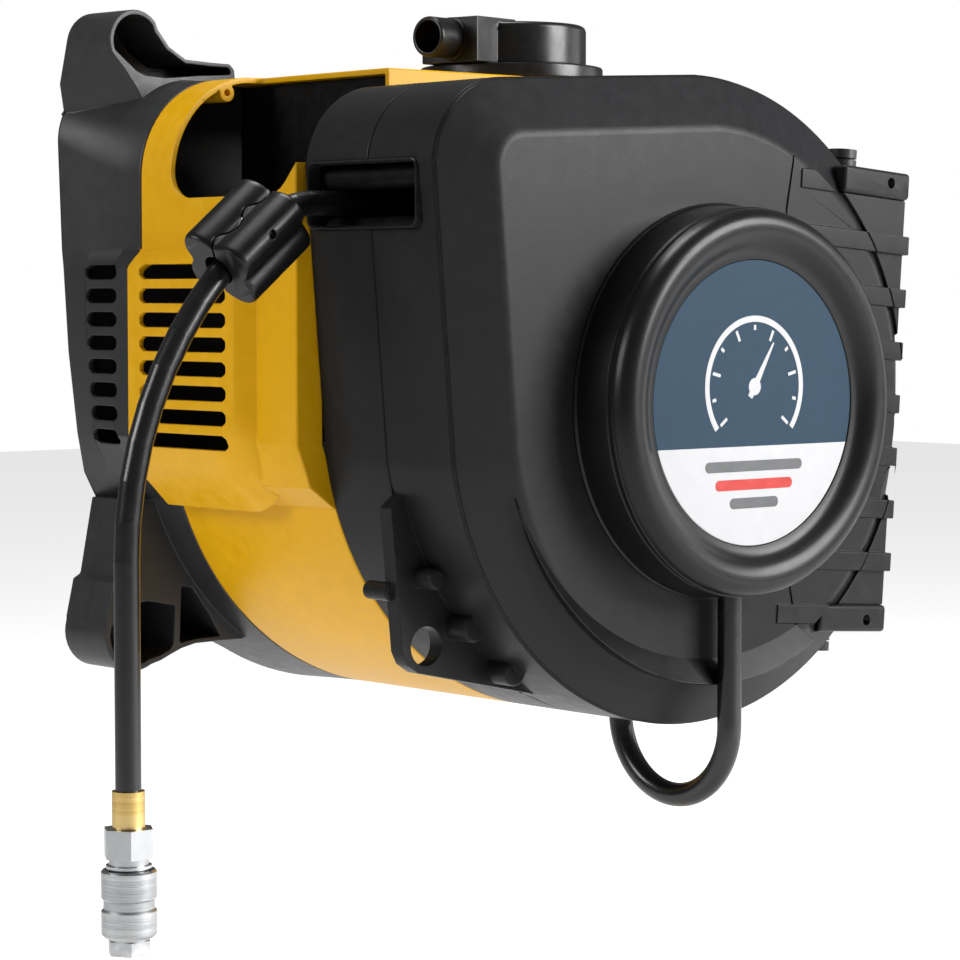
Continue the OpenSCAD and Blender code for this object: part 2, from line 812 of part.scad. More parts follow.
module piston() {
    color("#d0d2d4") translate([crank_x, shaft_y, 48]) difference() {
        cylinder(r = piston_r - fit, h = 31);
        translate([0, 0, -1]) cylinder(r = piston_r - 4, h = 28.5);
        for (z = [19, 25]) translate([0, 0, z]) ring(piston_r + 1, piston_r - 1.2, 2);
    }
}

module cylinder_fins() {
    for (i = [0:4]) translate([0, 0, 34 + i * 9]) cylinder(r = 36, h = 3);
}
module cylinder_bore() {
    cylinder(r = piston_r, h = 100);
}
module cylinder_barrel() {
    translate([0, 0, 28]) cylinder(r = 29, h = 53.9);
}
module cylinder_liner() {
    color("#9b9ea1") translate([crank_x, shaft_y, 0]) difference() {
        union() {
            cylinder_barrel();
            cylinder_fins();
        }
        cylinder_bore();
        for (a = [45:90:315]) rotate(a) translate([33, 0, 20]) cylinder(r = 2.2, h = 80);
    }
}

module valve_plate() {
    color("#b8bbbe") translate([crank_x, shaft_y, 82]) difference() {
        cylinder(r = 38, h = 3);
        for (y = [-10, 10]) translate([0, y, -1]) cylinder(r = 4, h = 5);
        for (a = [45:90:315]) rotate(a) translate([33, 0, -1]) cylinder(r = 2.2, h = 5);
    }
}

module cylinder_head() {
    color("#9b9ea1") translate([crank_x, shaft_y, 85.1]) difference() {
        union() {
            cylinder(r = 38, h = 9);
            for (x = [-30:6:30]) translate([x - 1, -17, 9]) cube([2, 34, 10]);
        }
        translate([0, 0, -1]) for (y = [-12, 12]) translate([0, y, 0]) cylinder(r = 9, h = 7);
        for (a = [45:90:315]) rotate(a) translate([33, 0, -1]) cylinder(r = 2.2, h = 40);
    }
}

module head_bolts() {
    color("#6d7276") translate([crank_x, shaft_y, 0]) for (a = [45:90:315]) rotate(a)
        translate([33, 0, 30]) {
            cylinder(r = 2, h = 66);
            translate([0, 0, 64.2]) cylinder(r = 4.2, h = 4, $fn = 6);
        }
}

module air_receiver() {
    r = 38;
    half = 84;
    cap = 14;
    color("#2f3133") translate([0, shaft_y, -117.5]) rotate([0, 90, 0]) difference() {
        rotate_extrude($fn = 64) polygon(concat([[0, -half]],
            [for (i = [1:6]) [r * sin(15 * i), -half + cap * (1 - cos(15 * i))]],
            [for (i = [6:-1:1]) [r * sin(15 * i), half - cap * (1 - cos(15 * i))]], [[0, half]]));
        translate([0, 0, -half + 16]) cylinder(r = r - 2.5, h = 2 * half - 32);
        translate([-40, 0, -60]) rotate([0, 90, 0]) cylinder(r = 5.1, h = 8);
    }
}

// Copper tube from the cylinder head to the check valve on the receiver.
module discharge_tube() {
    x = -80;
    color("#b87333") {
        xcyl(x, crank_x - 38.2, shaft_y, 90, 4);
        zcyl(x, shaft_y, -64, 90, 4);
        translate([x, shaft_y, 90]) sphere(r = 4);
    }
    color("#c59a3d") {
        xcyl(x, -66, shaft_y, -66, 5);
        zcyl(-66, shaft_y, -72, -60, 6);
        zcyl(x, shaft_y, -70, -62, 6);
    }
}

module pressure_switch() {
    color("#202224") {
        span([44, shaft_y - 22, 36], [92, shaft_y + 18, 74]);
        zcyl(68, shaft_y - 2, 33.5, 37, 8);
    }
    color("#c59a3d") zcyl(52, shaft_y - 14, 73, 88, 5);
}

// ---------- controls and cable on the right side ----------

module rocker_switch() {
    color("#b3201b") translate([side_x + 1, -120, 100]) {
        translate([-5, 0, 0]) rotate([90, 0, 0]) translate([0, 0, -12]) cylinder(r = 3, h = 24);
        hull() {
            translate([-4, -12, -8]) cube([4, 24, 16]);
            translate([0, -12, -8]) cube([3.4, 24, 1]);
            translate([0, -12, 7]) cube([1.6, 24, 1]);
        }
    }
}

module power_cable() {
    r = 3.6;
    out_x = 204;
    bend = 14;
    color("#1b1c1d") {
        xcyl(168, out_x - bend, -30, 60, r);
        translate([out_x - bend, -30, 60 - bend]) rotate([90, 0, 0])
            rotate_extrude(angle = 90) translate([bend, 0]) circle(r = r);
        zcyl(out_x, -30, -70, 60 - bend, r);
        xcyl(184.5, 192, -30, 60, 7.5);
        xcyl(170, 185, -30, 60, 6);
        zcyl(out_x, -30, -112, -68, 12);
    }
}

rear_housing();
wall_pads();
middle_shell();
shell_screws();
inner_cowl();
reel_rear_half();
reel_front_half();
reel_screws();
outlet_bezel();
hub_cover();
label_disc();
hinge_block_cap();
pivot_pin();
filter_base();
filter_cap();
filter_element();
outlet_frame();
upper_roller();
lower_roller();
roller_pins();
drum_axle();
reel_drum();
hose_pack();
spring_cover();
main_spring();
ratchet_wheel();
pawl();
pawl_pin();
swivel_joint();
lead_in_hose();
inlet_elbow();
hose_tail();
stopper_halves();
stopper_screws();
hose_ferrule();
coupler_body();
coupler_sleeve();
sleeve_spring();
coupler_valve();
pump_bracket();
rubber_mounts();
motor_housing();
motor_stator();
rotor_core();
motor_shaft();
shaft_bearings();
cooling_fan();
crankcase();
eccentric();
connecting_rod();
piston();
cylinder_liner();  // cylinder
valve_plate();
cylinder_head();
head_bolts();
air_receiver();
discharge_tube();
pressure_switch();
rocker_switch();
power_cable();
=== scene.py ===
import json
import math

import bmesh
import bpy
from mathutils import Matrix, Vector


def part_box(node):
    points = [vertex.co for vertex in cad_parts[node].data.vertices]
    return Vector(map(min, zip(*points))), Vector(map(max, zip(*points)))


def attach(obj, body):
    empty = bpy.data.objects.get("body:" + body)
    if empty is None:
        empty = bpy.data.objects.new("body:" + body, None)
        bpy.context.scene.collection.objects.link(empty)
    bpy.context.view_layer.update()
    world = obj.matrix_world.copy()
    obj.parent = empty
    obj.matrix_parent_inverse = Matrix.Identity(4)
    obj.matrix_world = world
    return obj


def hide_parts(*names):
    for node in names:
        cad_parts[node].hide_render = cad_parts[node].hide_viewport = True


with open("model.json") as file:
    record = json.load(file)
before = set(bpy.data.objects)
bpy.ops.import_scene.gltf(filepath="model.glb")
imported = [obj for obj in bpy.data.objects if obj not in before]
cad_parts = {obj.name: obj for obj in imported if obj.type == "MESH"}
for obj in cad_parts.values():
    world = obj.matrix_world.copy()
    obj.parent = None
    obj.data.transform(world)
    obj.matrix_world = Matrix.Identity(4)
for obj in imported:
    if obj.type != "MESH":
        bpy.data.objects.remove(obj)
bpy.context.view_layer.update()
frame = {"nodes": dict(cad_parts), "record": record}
MM = 0.001


# ---------- places, in mm, read from the frame where a CAD node gives them ----------
def extent(node, axis):
    """Lowest and highest coordinate of a CAD node along an axis, in mm."""
    k = "XYZ".index(axis)
    return [round(corner[k] / MM, 1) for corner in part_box(node)]


def middle(node, axis):
    """Middle of a CAD node along an axis, in mm."""
    return sum(extent(node, axis)) / 2


# the body, from the wall (Y = 0) towards the front (-Y): the seam of housing and yellow shell, the back
# of the reel casing, the joint of its halves, the edge where its bevel starts, and its face under the hub
SEAM_Y = extent("middle_shell", "Y")[1]
CASE_MID_Y, CASE_Y = extent("reel_rear_half", "Y")
FACE_Y = round(extent("hub_cover", "Y")[1])
EDGE_Y = FACE_Y + 15
BEVEL_IN = 27
WALL = 3
HUB_Z = middle("hub_cover", "Z")
CASE_R = round(HUB_Z - extent("reel_rear_half", "Z")[0])
RIDGE_R = 139.3

# hoses, filter, pump shaft and outlet
HOSE_R = (extent("hose_tail", "Y")[1] - extent("hose_tail", "Y")[0]) / 2
HOSE_Y = middle("hose_tail", "Y")
HOSE_Z = extent("hose_tail", "Z")[1] - HOSE_R
LEAD_Y = extent("lead_in_hose", "Y")[0] + HOSE_R
SUPPLY_Y = extent("lead_in_hose", "Y")[1] - HOSE_R
SUPPLY_Z = -178
SUPPLY_R = 7.5
CAP_X = middle("filter_base", "X")
SHAFT_Y = middle("filter_base", "Y")
OUTLET_Y0, OUTLET_Y1 = extent("outlet_bezel", "Y")
OUTLET_Z0, OUTLET_Z1 = extent("outlet_bezel", "Z")

# fastenings; the lugs and the pads repeat at both signs of X and of Z
BOSSES = [(-166, 60), (166, 60), (-124, -117), (124, -117)]
LUG_X, LUG_Z = 168, 150
PAD_X, PAD_Z = 110, 80

# ribbed block, in its own frame, which leans about the hub
BLOCK_LEAN = 4.25
BLOCK_LEFT_X = 84
BLOCK_X = 134.6
BLOCK_TOP = 111.5
BLOCK_LOW = -99.3
RIB_TOP = 83.3
RIB_PITCH = 27.5
RIB_H = 9.6
PIN_X = 119.8
PIN_Y = -262
PIN_R = 4.1
PIN_LENGTH = 55
PIN_TOP = 96.5
PIN_LOW = -130.5


# ---------- mesh helpers (all lengths in mm) ----------
def new_object(name, verts, faces):
    """Mesh object from points in mm, with doubled points merged and normals outwards."""
    mesh = bpy.data.meshes.new(name)
    mesh.from_pydata([Vector(v) * MM for v in verts], [], faces)
    bm = bmesh.new()
    bm.from_mesh(mesh)
    bmesh.ops.remove_doubles(bm, verts=bm.verts, dist=2e-6)
    bmesh.ops.recalc_face_normals(bm, faces=bm.faces)
    bm.to_mesh(mesh)
    bm.free()
    obj = bpy.data.objects.new(name, mesh)
    bpy.context.scene.collection.objects.link(obj)
    return obj


def at(axis, u, v, w):
    """A point from its two coordinates in the plane of an outline and its place along the axis."""
    return {"X": (w, u, v), "Y": (u, w, v), "Z": (u, v, w)}[axis]


def loft(name, axis, rings):
    """Closed solid through rings [(place along the axis, outline points), ...] of equal point counts."""
    n = len(rings[0][1])
    verts = [at(axis, u, v, w) for w, outline in rings for u, v in outline]
    faces = [tuple(range(n - 1, -1, -1)), tuple(range((len(rings) - 1) * n, len(rings) * n))]
    for k in range(len(rings) - 1):
        for j in range(n):
            a, b = k * n + j, k * n + (j + 1) % n
            faces.append((a, b, b + n, a + n))
    return new_object(name, verts, faces)


def prism(name, axis, outline, w0, w1):
    return loft(name, axis, [(w0, outline), (w1, outline)])


def box(name, lo, hi):
    outline = [(lo[0], lo[1]), (hi[0], lo[1]), (hi[0], hi[1]), (lo[0], hi[1])]
    return prism(name, "Z", outline, lo[2], hi[2])


def arc(cx, cy, r, a0, a1, n):
    """n + 1 points from angle a0 to angle a1, in degrees."""
    steps = [math.radians(a0 + (a1 - a0) * i / n) for i in range(n + 1)]
    return [(cx + r * math.cos(a), cy + r * math.sin(a)) for a in steps]


def circle(cx, cy, r, n=64):
    """Outline of n points, the first at angle 0."""
    return arc(cx, cy, r, 0, 360 - 360 / n, n - 1)


def rounded(lo, hi, radii, n=6):
    """Rectangle with rounded corners; radii are for (low,low), (high,low), (high,high), (low,high)."""
    if not isinstance(radii, (tuple, list)):
        radii = [radii] * 4
    (u0, v0), (u1, v1) = lo, hi
    a, b, c, d = radii
    return (
        arc(u0 + a, v0 + a, a, 180, 270, n)
        + arc(u1 - b, v0 + b, b, 270, 360, n)
        + arc(u1 - c, v1 - c, c, 0, 90, n)
        + arc(u0 + d, v1 - d, d, 90, 180, n)
    )


def cylinder(name, axis, u, v, w0, w1, r, n=64, chamfer=0.0):
    """Round bar along an axis from w0 to w1; (u, v) is its centre in the other two coordinates."""
    full = circle(u, v, r, n)
    if not chamfer:
        return prism(name, axis, full, w0, w1)
    small = circle(u, v, r - chamfer, n)
    step = chamfer if w1 > w0 else -chamfer
    return loft(name, axis, [(w0, small), (w0 + step, full), (w1 - step, full), (w1, small)])


def ring_part(name, cx, cz, r0, r1, a0, a1, y0, y1, n=40):
    """Part of a flat ring between two radii and two angles."""
    outline = arc(cx, cz, r1, a0, a1, n) + arc(cx, cz, r0, a1, a0, n)
    return prism(name, "Y", outline, y0, y1)


def closed_grid(rows, columns, skip=()):
    """Faces over a grid of points that closes on itself both ways, without the columns in skip."""
    faces = []
    for k in range(rows):
        k2 = (k + 1) % rows
        for j in range(columns):
            j2 = (j + 1) % columns
            if j not in skip:
                faces.append((k * columns + j, k * columns + j2, k2 * columns + j2, k2 * columns + j))
    return faces


def lathe(name, centre, profile, axis="Y", n=128, sign=-1):
    """Turned solid from a closed profile of (radius, height) points; heights grow along sign * axis."""
    verts = []
    for k in range(n):
        a = 2 * math.pi * k / n
        for r, h in profile:
            p = at(axis, r * math.cos(a), r * math.sin(a), sign * h)
            verts.append((centre[0] + p[0], centre[1] + p[1], centre[2] + p[2]))
    m = len(profile)
    on_axis = [j for j in range(m) if profile[j][0] == 0 and profile[(j + 1) % m][0] == 0]
    return new_object(name, verts, closed_grid(n, m, on_axis))


def bake(obj):
    """Applies the object's modifiers."""
    mesh = bpy.data.meshes.new_from_object(obj.evaluated_get(bpy.context.evaluated_depsgraph_get()))
    obj.modifiers.clear()
    obj.data = mesh
    return obj


def combine(obj, others, operation):
    """Exact boolean with a list of tools, which are then deleted."""
    for other in others:
        mod = obj.modifiers.new("boolean", "BOOLEAN")
        mod.operation, mod.solver, mod.object = operation, "EXACT", other
    bpy.context.view_layer.update()
    bake(obj)
    for other in others:
        bpy.data.objects.remove(other)
    return obj


def cut(obj, *others):
    return combine(obj, others, "DIFFERENCE")


def join(obj, *others):
    return combine(obj, others, "UNION")


def transform(obj, matrix):
    obj.data.transform(matrix)
    return obj


def lean(obj):
    """From the leaning frame of the ribbed block into the frame of the machine."""
    turn = Matrix.Rotation(math.radians(BLOCK_LEAN), 4, "Y")
    return transform(obj, Matrix.Translation((0, 0, HUB_Z * MM)) @ turn)


def polish(obj, width=0.7, angle=32, segments=2):
    """Rounds the edges sharper than angle by width, in mm, and shades the rest smooth."""
    bm = bmesh.new()
    bm.from_mesh(obj.data)
    bmesh.ops.remove_doubles(bm, verts=bm.verts, dist=2e-5)
    bmesh.ops.dissolve_degenerate(bm, dist=1e-5, edges=bm.edges)
    bm.to_mesh(obj.data)
    bm.free()
    if width:
        mod = obj.modifiers.new("bevel", "BEVEL")
        mod.width, mod.segments = width * MM, segments
        mod.limit_method, mod.angle_limit = "ANGLE", math.radians(angle)
        mod.use_clamp_overlap = False
        mod.miter_outer = "MITER_ARC"
    obj.data.polygons.foreach_set("use_smooth", [True] * len(obj.data.polygons))
    bake(obj)
    obj.data.polygons.foreach_set("use_smooth", [True] * len(obj.data.polygons))
    obj.data.set_sharp_from_angle(angle=math.radians(34))
    mod = obj.modifiers.new("normals", "WEIGHTED_NORMAL")
    mod.keep_sharp = True
    bake(obj)
    return obj


def finish_piece(obj, body, material, slot, *nodes):
    """Gives a piece its material and its body, and hides the CAD nodes that it stands for."""
    obj.data.materials.clear()
    obj.data.materials.append(material)
    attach(obj, body)
    if nodes:
        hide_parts(*nodes)
    return obj


# ---------- shader helpers: each adds a node to a tree and returns its output ----------
def noise(tree, scale, detail, vector):
    node = tree.nodes.new("ShaderNodeTexNoise")
    node.inputs["Scale"].default_value = scale
    node.inputs["Detail"].default_value = detail
    tree.links.new(vector, node.inputs["Vector"])
    return node.outputs["Fac"]


def ramp(tree, value, low, high, a, b):
    """Carries low..high over to a..b."""
    node = tree.nodes.new("ShaderNodeMapRange")
    for socket, number in (("From Min", low), ("From Max", high), ("To Min", a), ("To Max", b)):
        node.inputs[socket].default_value = number
    tree.links.new(value, node.inputs["Value"])
    return node.outputs["Result"]


def multiply(tree, a, b):
    node = tree.nodes.new("ShaderNodeMath")
    node.operation = "MULTIPLY"
    tree.links.new(a, node.inputs[0])
    tree.links.new(b, node.inputs[1])
    return node.outputs["Value"]


def lay_over(tree, under, colour, factor):
    node = tree.nodes.new("ShaderNodeMix")
    node.data_type = "RGBA"
    node.inputs["B"].default_value = (*colour, 1)
    tree.links.new(factor, node.inputs["Factor"])
    tree.links.new(under, node.inputs["A"])
    return node.outputs["Result"]


# ---------- materials ----------
DUST = (0.32, 0.31, 0.29)


def finish_material(
    name, base, rough, metal=0.0, vary=0.08, grain=0.06, grain_scale=1400.0,
    wear=0.12, wear_tint=None, rough_vary=0.04, stretch=(1, 1, 1), coat=0.0, dust=0.0, specular=0.5,
):
    """Procedural finish: cloudy colour, fine grain, uneven roughness, lighter worn edges, dust on top."""
    material = bpy.data.materials.new(name)
    material.use_nodes = True
    tree = material.node_tree
    nodes, links = tree.nodes, tree.links
    bsdf = nodes["Principled BSDF"]
    place = nodes.new("ShaderNodeTexCoord").outputs["Object"]
    mapping = nodes.new("ShaderNodeMapping")
    mapping.inputs["Scale"].default_value = stretch
    links.new(place, mapping.inputs["Vector"])
    stretched = mapping.outputs["Vector"]
    clouds = noise(tree, 14, 5, place)
    fine = noise(tree, grain_scale, 3, stretched)
    scuff = noise(tree, 140, 8, stretched)
    geometry = nodes.new("ShaderNodeNewGeometry")

    shade = ramp(tree, clouds, 0.3, 0.7, 1 - vary, 1 + vary)
    fleck = ramp(tree, scuff, 0.3, 0.7, 1 - vary * 0.6, 1 + vary * 0.6)
    tint = nodes.new("ShaderNodeVectorMath")
    tint.operation = "SCALE"
    tint.inputs[0].default_value = base
    links.new(multiply(tree, shade, fleck), tint.inputs["Scale"])

    edge = ramp(tree, geometry.outputs["Pointiness"], 0.51, 0.60, 0, 1)
    patchy = ramp(tree, scuff, 0.42, 0.62, 0, wear)
    worn_colour = wear_tint or tuple(min(1.0, c * 1.6 + 0.03) for c in base)
    colour = lay_over(tree, tint.outputs["Vector"], worn_colour, multiply(tree, edge, patchy))
    if dust:
        normal = nodes.new("ShaderNodeSeparateXYZ")
        links.new(geometry.outputs["Normal"], normal.inputs["Vector"])
        level = ramp(tree, normal.outputs["Z"], 0.6, 1.0, 0, dust)
        colour = lay_over(tree, colour, DUST, multiply(tree, level, clouds))
    links.new(colour, bsdf.inputs["Base Color"])

    uneven = ramp(tree, scuff, 0.3, 0.7, max(0.03, rough - rough_vary), min(1.0, rough + rough_vary))
    links.new(uneven, bsdf.inputs["Roughness"])
    bump = nodes.new("ShaderNodeBump")
    bump.inputs["Strength"].default_value = grain
    bump.inputs["Distance"].default_value = 0.0004
    links.new(fine, bump.inputs["Height"])
    links.new(bump.outputs["Normal"], bsdf.inputs["Normal"])
    bsdf.inputs["Metallic"].default_value = metal
    bsdf.inputs["Specular IOR Level"].default_value = specular
    bsdf.inputs["Coat Weight"].default_value = coat
    bsdf.inputs["Coat Roughness"].default_value = 0.2
    material.diffuse_color = (*base, 1)
    return material


TURNED = (0.05, 0.05, 3.0)
LOOKS = {
    "black_plastic": dict(
        base=(0.024, 0.025, 0.0265), rough=0.40, vary=0.05, grain=0.14, dust=0.03, specular=0.35,
    ),
    "case_plastic": dict(
        base=(0.016, 0.0165, 0.0175), rough=0.36, vary=0.05, grain=0.11, dust=0.02, specular=0.14,
    ),
    # near-black lip colour: painted shade standing in for the hub's shadow on the lip
    "lip_plastic": dict(
        base=(0.003, 0.003, 0.0034), rough=0.34, vary=0.04, grain=0.05, wear=0.02, rough_vary=0.03,
        specular=0.2,
    ),
    "shadow_plastic": dict(base=(0.002, 0.002, 0.0022), rough=0.6, grain=0.1, specular=0.1),
    "grey_plastic": dict(base=(0.062, 0.063, 0.067), rough=0.42, grain=0.13),
    "hub_plastic": dict(
        base=(0.006, 0.006, 0.0065), rough=0.36, vary=0.05, grain=0.04, rough_vary=0.03, coat=0.1,
        specular=0.22,
    ),
    "yellow_plastic": dict(
        base=(0.74, 0.385, 0.002), rough=0.38, vary=0.05, grain=0.08, wear=0.2,
        wear_tint=(0.92, 0.62, 0.12), specular=0.22,
    ),
    "cap_plastic": dict(base=(0.008, 0.008, 0.0085), rough=0.30, coat=0.1, specular=0.35),
    "rubber": dict(base=(0.003, 0.003, 0.0033), rough=0.34, grain=0.08, wear=0.1, specular=0.3),
    "hose_rubber": dict(
        base=(0.005, 0.005, 0.0055), rough=0.26, vary=0.04, grain=0.04, wear=0.04, rough_vary=0.03,
        coat=0.2,
    ),
    "brass": dict(
        base=(0.72, 0.49, 0.16), rough=0.30, metal=1.0, vary=0.12, wear=0.4,
        wear_tint=(0.9, 0.72, 0.38), stretch=TURNED, grain=0.10, grain_scale=900,
    ),
    "steel": dict(
        base=(0.50, 0.51, 0.52), rough=0.30, metal=1.0, vary=0.10, wear=0.5,
        wear_tint=(0.8, 0.8, 0.8), grain=0.10, grain_scale=900,
    ),
    "turned_steel": dict(
        base=(0.47, 0.48, 0.49), rough=0.28, metal=1.0, vary=0.12, wear=0.6,
        wear_tint=(0.85, 0.85, 0.85), stretch=TURNED, grain=0.25, grain_scale=700, rough_vary=0.14,
    ),
    "screw_steel": dict(base=(0.30, 0.31, 0.32), rough=0.38, metal=1.0, vary=0.15, wear=0.5),
    "alu": dict(
        base=(0.55, 0.56, 0.57), rough=0.48, metal=1.0, vary=0.10, grain=0.30, grain_scale=800,
        wear=0.4, wear_tint=(0.85, 0.85, 0.86),
    ),
    "iron": dict(
        base=(0.20, 0.20, 0.205), rough=0.58, metal=0.9, vary=0.16, grain=0.4, grain_scale=600,
        wear=0.5, wear_tint=(0.5, 0.5, 0.5),
    ),
    "copper": dict(
        base=(0.70, 0.30, 0.15), rough=0.32, metal=1.0, vary=0.18, wear=0.4,
        wear_tint=(0.9, 0.55, 0.35),
    ),
    "tank_paint": dict(
        base=(0.030, 0.031, 0.033), rough=0.34, vary=0.1, grain=0.2, grain_scale=300,
    ),
    "roller_nylon": dict(base=(0.004, 0.004, 0.0042), rough=0.5, vary=0.06, specular=0.1),
    "filter_paper": dict(
        base=(0.66, 0.62, 0.50), rough=0.85, vary=0.10, grain=0.5, grain_scale=500,
    ),
    "red_plastic": dict(base=(0.45, 0.022, 0.015), rough=0.34, vary=0.06, grain=0.08),
    "disc_blue": dict(
        base=(0.026, 0.050, 0.078), rough=0.5, vary=0.03, grain=0.03, wear=0.05, specular=0.08,
    ),
    "disc_white": dict(
        base=(0.50, 0.50, 0.51), rough=0.5, vary=0.015, grain=0.03, wear=0.05, specular=0.08,
    ),
    "disc_grey": dict(base=(0.08, 0.082, 0.085), rough=0.42, vary=0.03, grain=0.03, wear=0.1),
}
MATERIALS = {name: finish_material(name, **look) for name, look in LOOKS.items()}

SLOT_OF = {s["node"]: s["material_slot"] for s in frame["record"]["subparts"]}
# CAD nodes take the look of their material slot, except for these
SPECIAL = {
    "inner_cowl": "shadow_plastic", "outlet_frame": "shadow_plastic",
    "reel_rear_half": "case_plastic", "reel_front_half": "case_plastic", "coupler_sleeve": "turned_steel",
    "coupler_body": "steel", "outlet_bezel": "case_plastic",
}
for node, obj in frame["nodes"].items():
    slot_name = SLOT_OF[node]
    look = MATERIALS[SPECIAL.get(node, slot_name if slot_name in MATERIALS else "grey_plastic")]
    obj.data.materials.clear()
    obj.data.materials.append(look)


# ---------- outlines ----------
def case_outline(g):
    """Outline of the reel casing from the front, drawn in by g, with its bulge at the outlet."""
    return arc(0, HUB_Z, CASE_R - g, 90, -171, 116) + arc(-127, 80, 44 - g, 175, 94, 16)


def half_outline(g, rear, pod):
    """Left half of the body outline from the roof to the bottom, drawn in by g.
    rear: 0 at the seam, 1 at the wall. pod: how far the side bulges with the yellow pods at the seam."""
    bend = 52 - 18 * rear
    pts = arc(-176 - 12 * rear + bend, 134 + 2 * rear - bend, bend - g, 93, 180, 20)
    lift = 8.5 * pod
    seam = [(-176, 46), (-176 - lift, 36), (-176 - lift * 1.06, -7), (-176 - lift * 1.06, -50), (-168, -71)]
    wall = [(-186, 46), (-185, 36), (-182.3, -7), (-177, -50), (-173, -71)]
    for (x0, z0), (x1, z1) in zip(seam, wall):
        pts.append((x0 + (x1 - x0) * rear + g, z0 + (z1 - z0) * rear))
    start, end, steps = 199, 270, 28
    for i in range(steps + 1):
        a = start + (end - start) * i / steps
        r = CASE_R - g + rear * (2 + 11 * max(0.0, (240 - a) / 41))
        pts.append((r * math.cos(math.radians(a)), HUB_Z + r * math.sin(math.radians(a))))
    return pts


def body_outline(g, rear=0.0, pod=1.0):
    """The half outline and its mirror image."""
    half = half_outline(g, rear, pod)
    return half + [(-x, z) for x, z in reversed(half) if abs(x) > 1e-4]


def stadium(u0, u1, v0, v1, n=3):
    """Slot with round ends, between two places along u and two along v."""
    r = (v1 - v0) / 2
    return arc(u1 - r, v0 + r, r, -90, 90, n) + arc(u0 + r, v0 + r, r, 90, 270, n)


def louvres(y_front, y_rear, x0, x1, top=30.5, pitch=12.1, height=7.3):
    """Eight slots through each side wall."""
    tools = []
    for side in (-1, 1):
        for i in range(8):
            z = top - pitch * i
            tools.append(prism("tool", "X", stadium(y_front, y_rear, z, z + height), side * x0, side * x1))
    return tools


# ---------- black housing on the wall ----------
# (x, z) outlines of the two hollow ears on the left; the top one narrows from the wall to its front
EAR_Y = -38
EAR_FLANK = [
    (-150, 160), (-143, 151.6), (-132, 145.4), (-115, 144.6), (-103.5, 144.4), (-100.6, 141.5),
    (-99.5, 130), (-130, 80),
]
TOP_EAR_WALL = [(-176, 96), (-183.5, 114), (-186.5, 132)] + arc(-164, 152, 18, 168, 42, 12) + EAR_FLANK
TOP_EAR_FRONT = [(-157, 118), (-164, 129), (-171, 138)] + arc(-164, 153, 16.5, 202, 42, 12) + EAR_FLANK
TOP_POCKET = arc(-164, 153, 13.8, 200, 42, 12) + [
    (-152.2, 158.5), (-145, 150), (-133, 143.3), (-116, 142.5), (-105, 142.4), (-103.4, 140.8),
    (-103.6, 138.8), (-125, 137.4), (-145, 135.4), (-158, 136), (-163.5, 138), (-170, 143),
]
LOW_EAR = [(-168, -84), (-176, -124), (-180.5, -126.5), (-185, -146)]
LOW_EAR += arc(-166.5, -154, 19.5, 162, 300, 14)
LOW_EAR += [
    (-150.5, -169.3), (-144, -166.6), (-137, -163.9), (-128, -162), (-112, -161.8), (-97, -162),
    (-80, -150), (-120, -90),
]
LOW_POCKET = [(-158, -137.5), (-172, -138.5)] + arc(-166.5, -154, 16, 165, 300, 12)
LOW_POCKET += [(-151.5, -166.5), (-145, -163.8), (-142.8, -161), (-141.5, -141)]
LOW_HOLLOW = [
    (-137, -131), (-138.3, -160.8), (-128, -159.4), (-112, -159), (-120.5, -145.5), (-130.5, -132),
]


def housing_inside(g):
    """The room inside the housing, drawn in by g from its outside."""
    stations = ((-4.9, 0.9), (-20, 0.55), (-44, 0.1), (-60, 0))
    return loft("tool", "Y", [(y, body_outline(g, rear)) for y, rear in stations])


def rear_housing():
    """Open shell with a flat back, hollow ears on the left, flat lugs on the right and side louvres."""
    shell = loft("rear_housing_look", "Y", [
        (0, body_outline(0.6, 1.0)), (-0.8, body_outline(0, 0.98)), (-20, body_outline(0, 0.55)),
        (-44, body_outline(0, 0.1)), (-57.2, body_outline(0, 0)), (-57.9, body_outline(0.6, 0)),
    ])
    cut(shell, housing_inside(WALL))
    parts = [cylinder("tool", "Y", x, z, -1, SEAM_Y + 0.1, 7.5, 32) for x, z in BOSSES]
    parts.append(loft("tool", "Y", [(-0.3, TOP_EAR_WALL), (EAR_Y, TOP_EAR_FRONT)]))
    parts.append(prism("tool", "Y", LOW_EAR, -0.35, EAR_Y))
    # flat lugs on the right
    top_lug = arc(LUG_X, LUG_Z, 13, -30, 140, 12) + [(110, 128), (160, 100)]
    low_lug = arc(LUG_X, -LUG_Z, 13, 30, -140, 12) + [(100, -145), (150, -70)]
    parts.append(prism("tool", "Y", top_lug, -0.2, -10))
    parts.append(prism("tool", "Y", low_lug, -0.25, -10))
    join(shell, *parts)
    tools = louvres(-48, -20, 160, 215)
    for pocket in (TOP_POCKET, LOW_POCKET, LOW_HOLLOW):
        tools.append(prism("tool", "Y", pocket, -4, -60))
    for sx in (-1, 1):
        for sz in (-1, 1):
            tools.append(cylinder("tool", "Y", sx * LUG_X, sz * LUG_Z, 5, -20, 3.5, 32))
            tools.append(cylinder("tool", "Y", sx * PAD_X, sz * PAD_Z, 5, -2, 12.1, 48))
    for x, z in BOSSES:
        tools.append(cylinder("tool", "Y", x, z, 5, -40, 4.6, 24))
        tools.append(cylinder("tool", "Y", x, z, -39, -62, 2, 24))
    cable_y, cable_z = -30, 60
    tools.append(cylinder("tool", "X", cable_y, cable_z, 160, 220, 6.1, 32))
    cut(shell, *tools)
    # the ears reach into the body, so the inside is cleared again around the screw bosses
    inside = housing_inside(WALL + 0.1)
    cut(inside, *[cylinder("tool", "Y", x, z, 2, -62, 7.4, 32) for x, z in BOSSES])
    cut(shell, inside)
    polish(shell, 0.8)
    finish_piece(shell, "root", MATERIALS["black_plastic"], "black_plastic", "rear_housing")


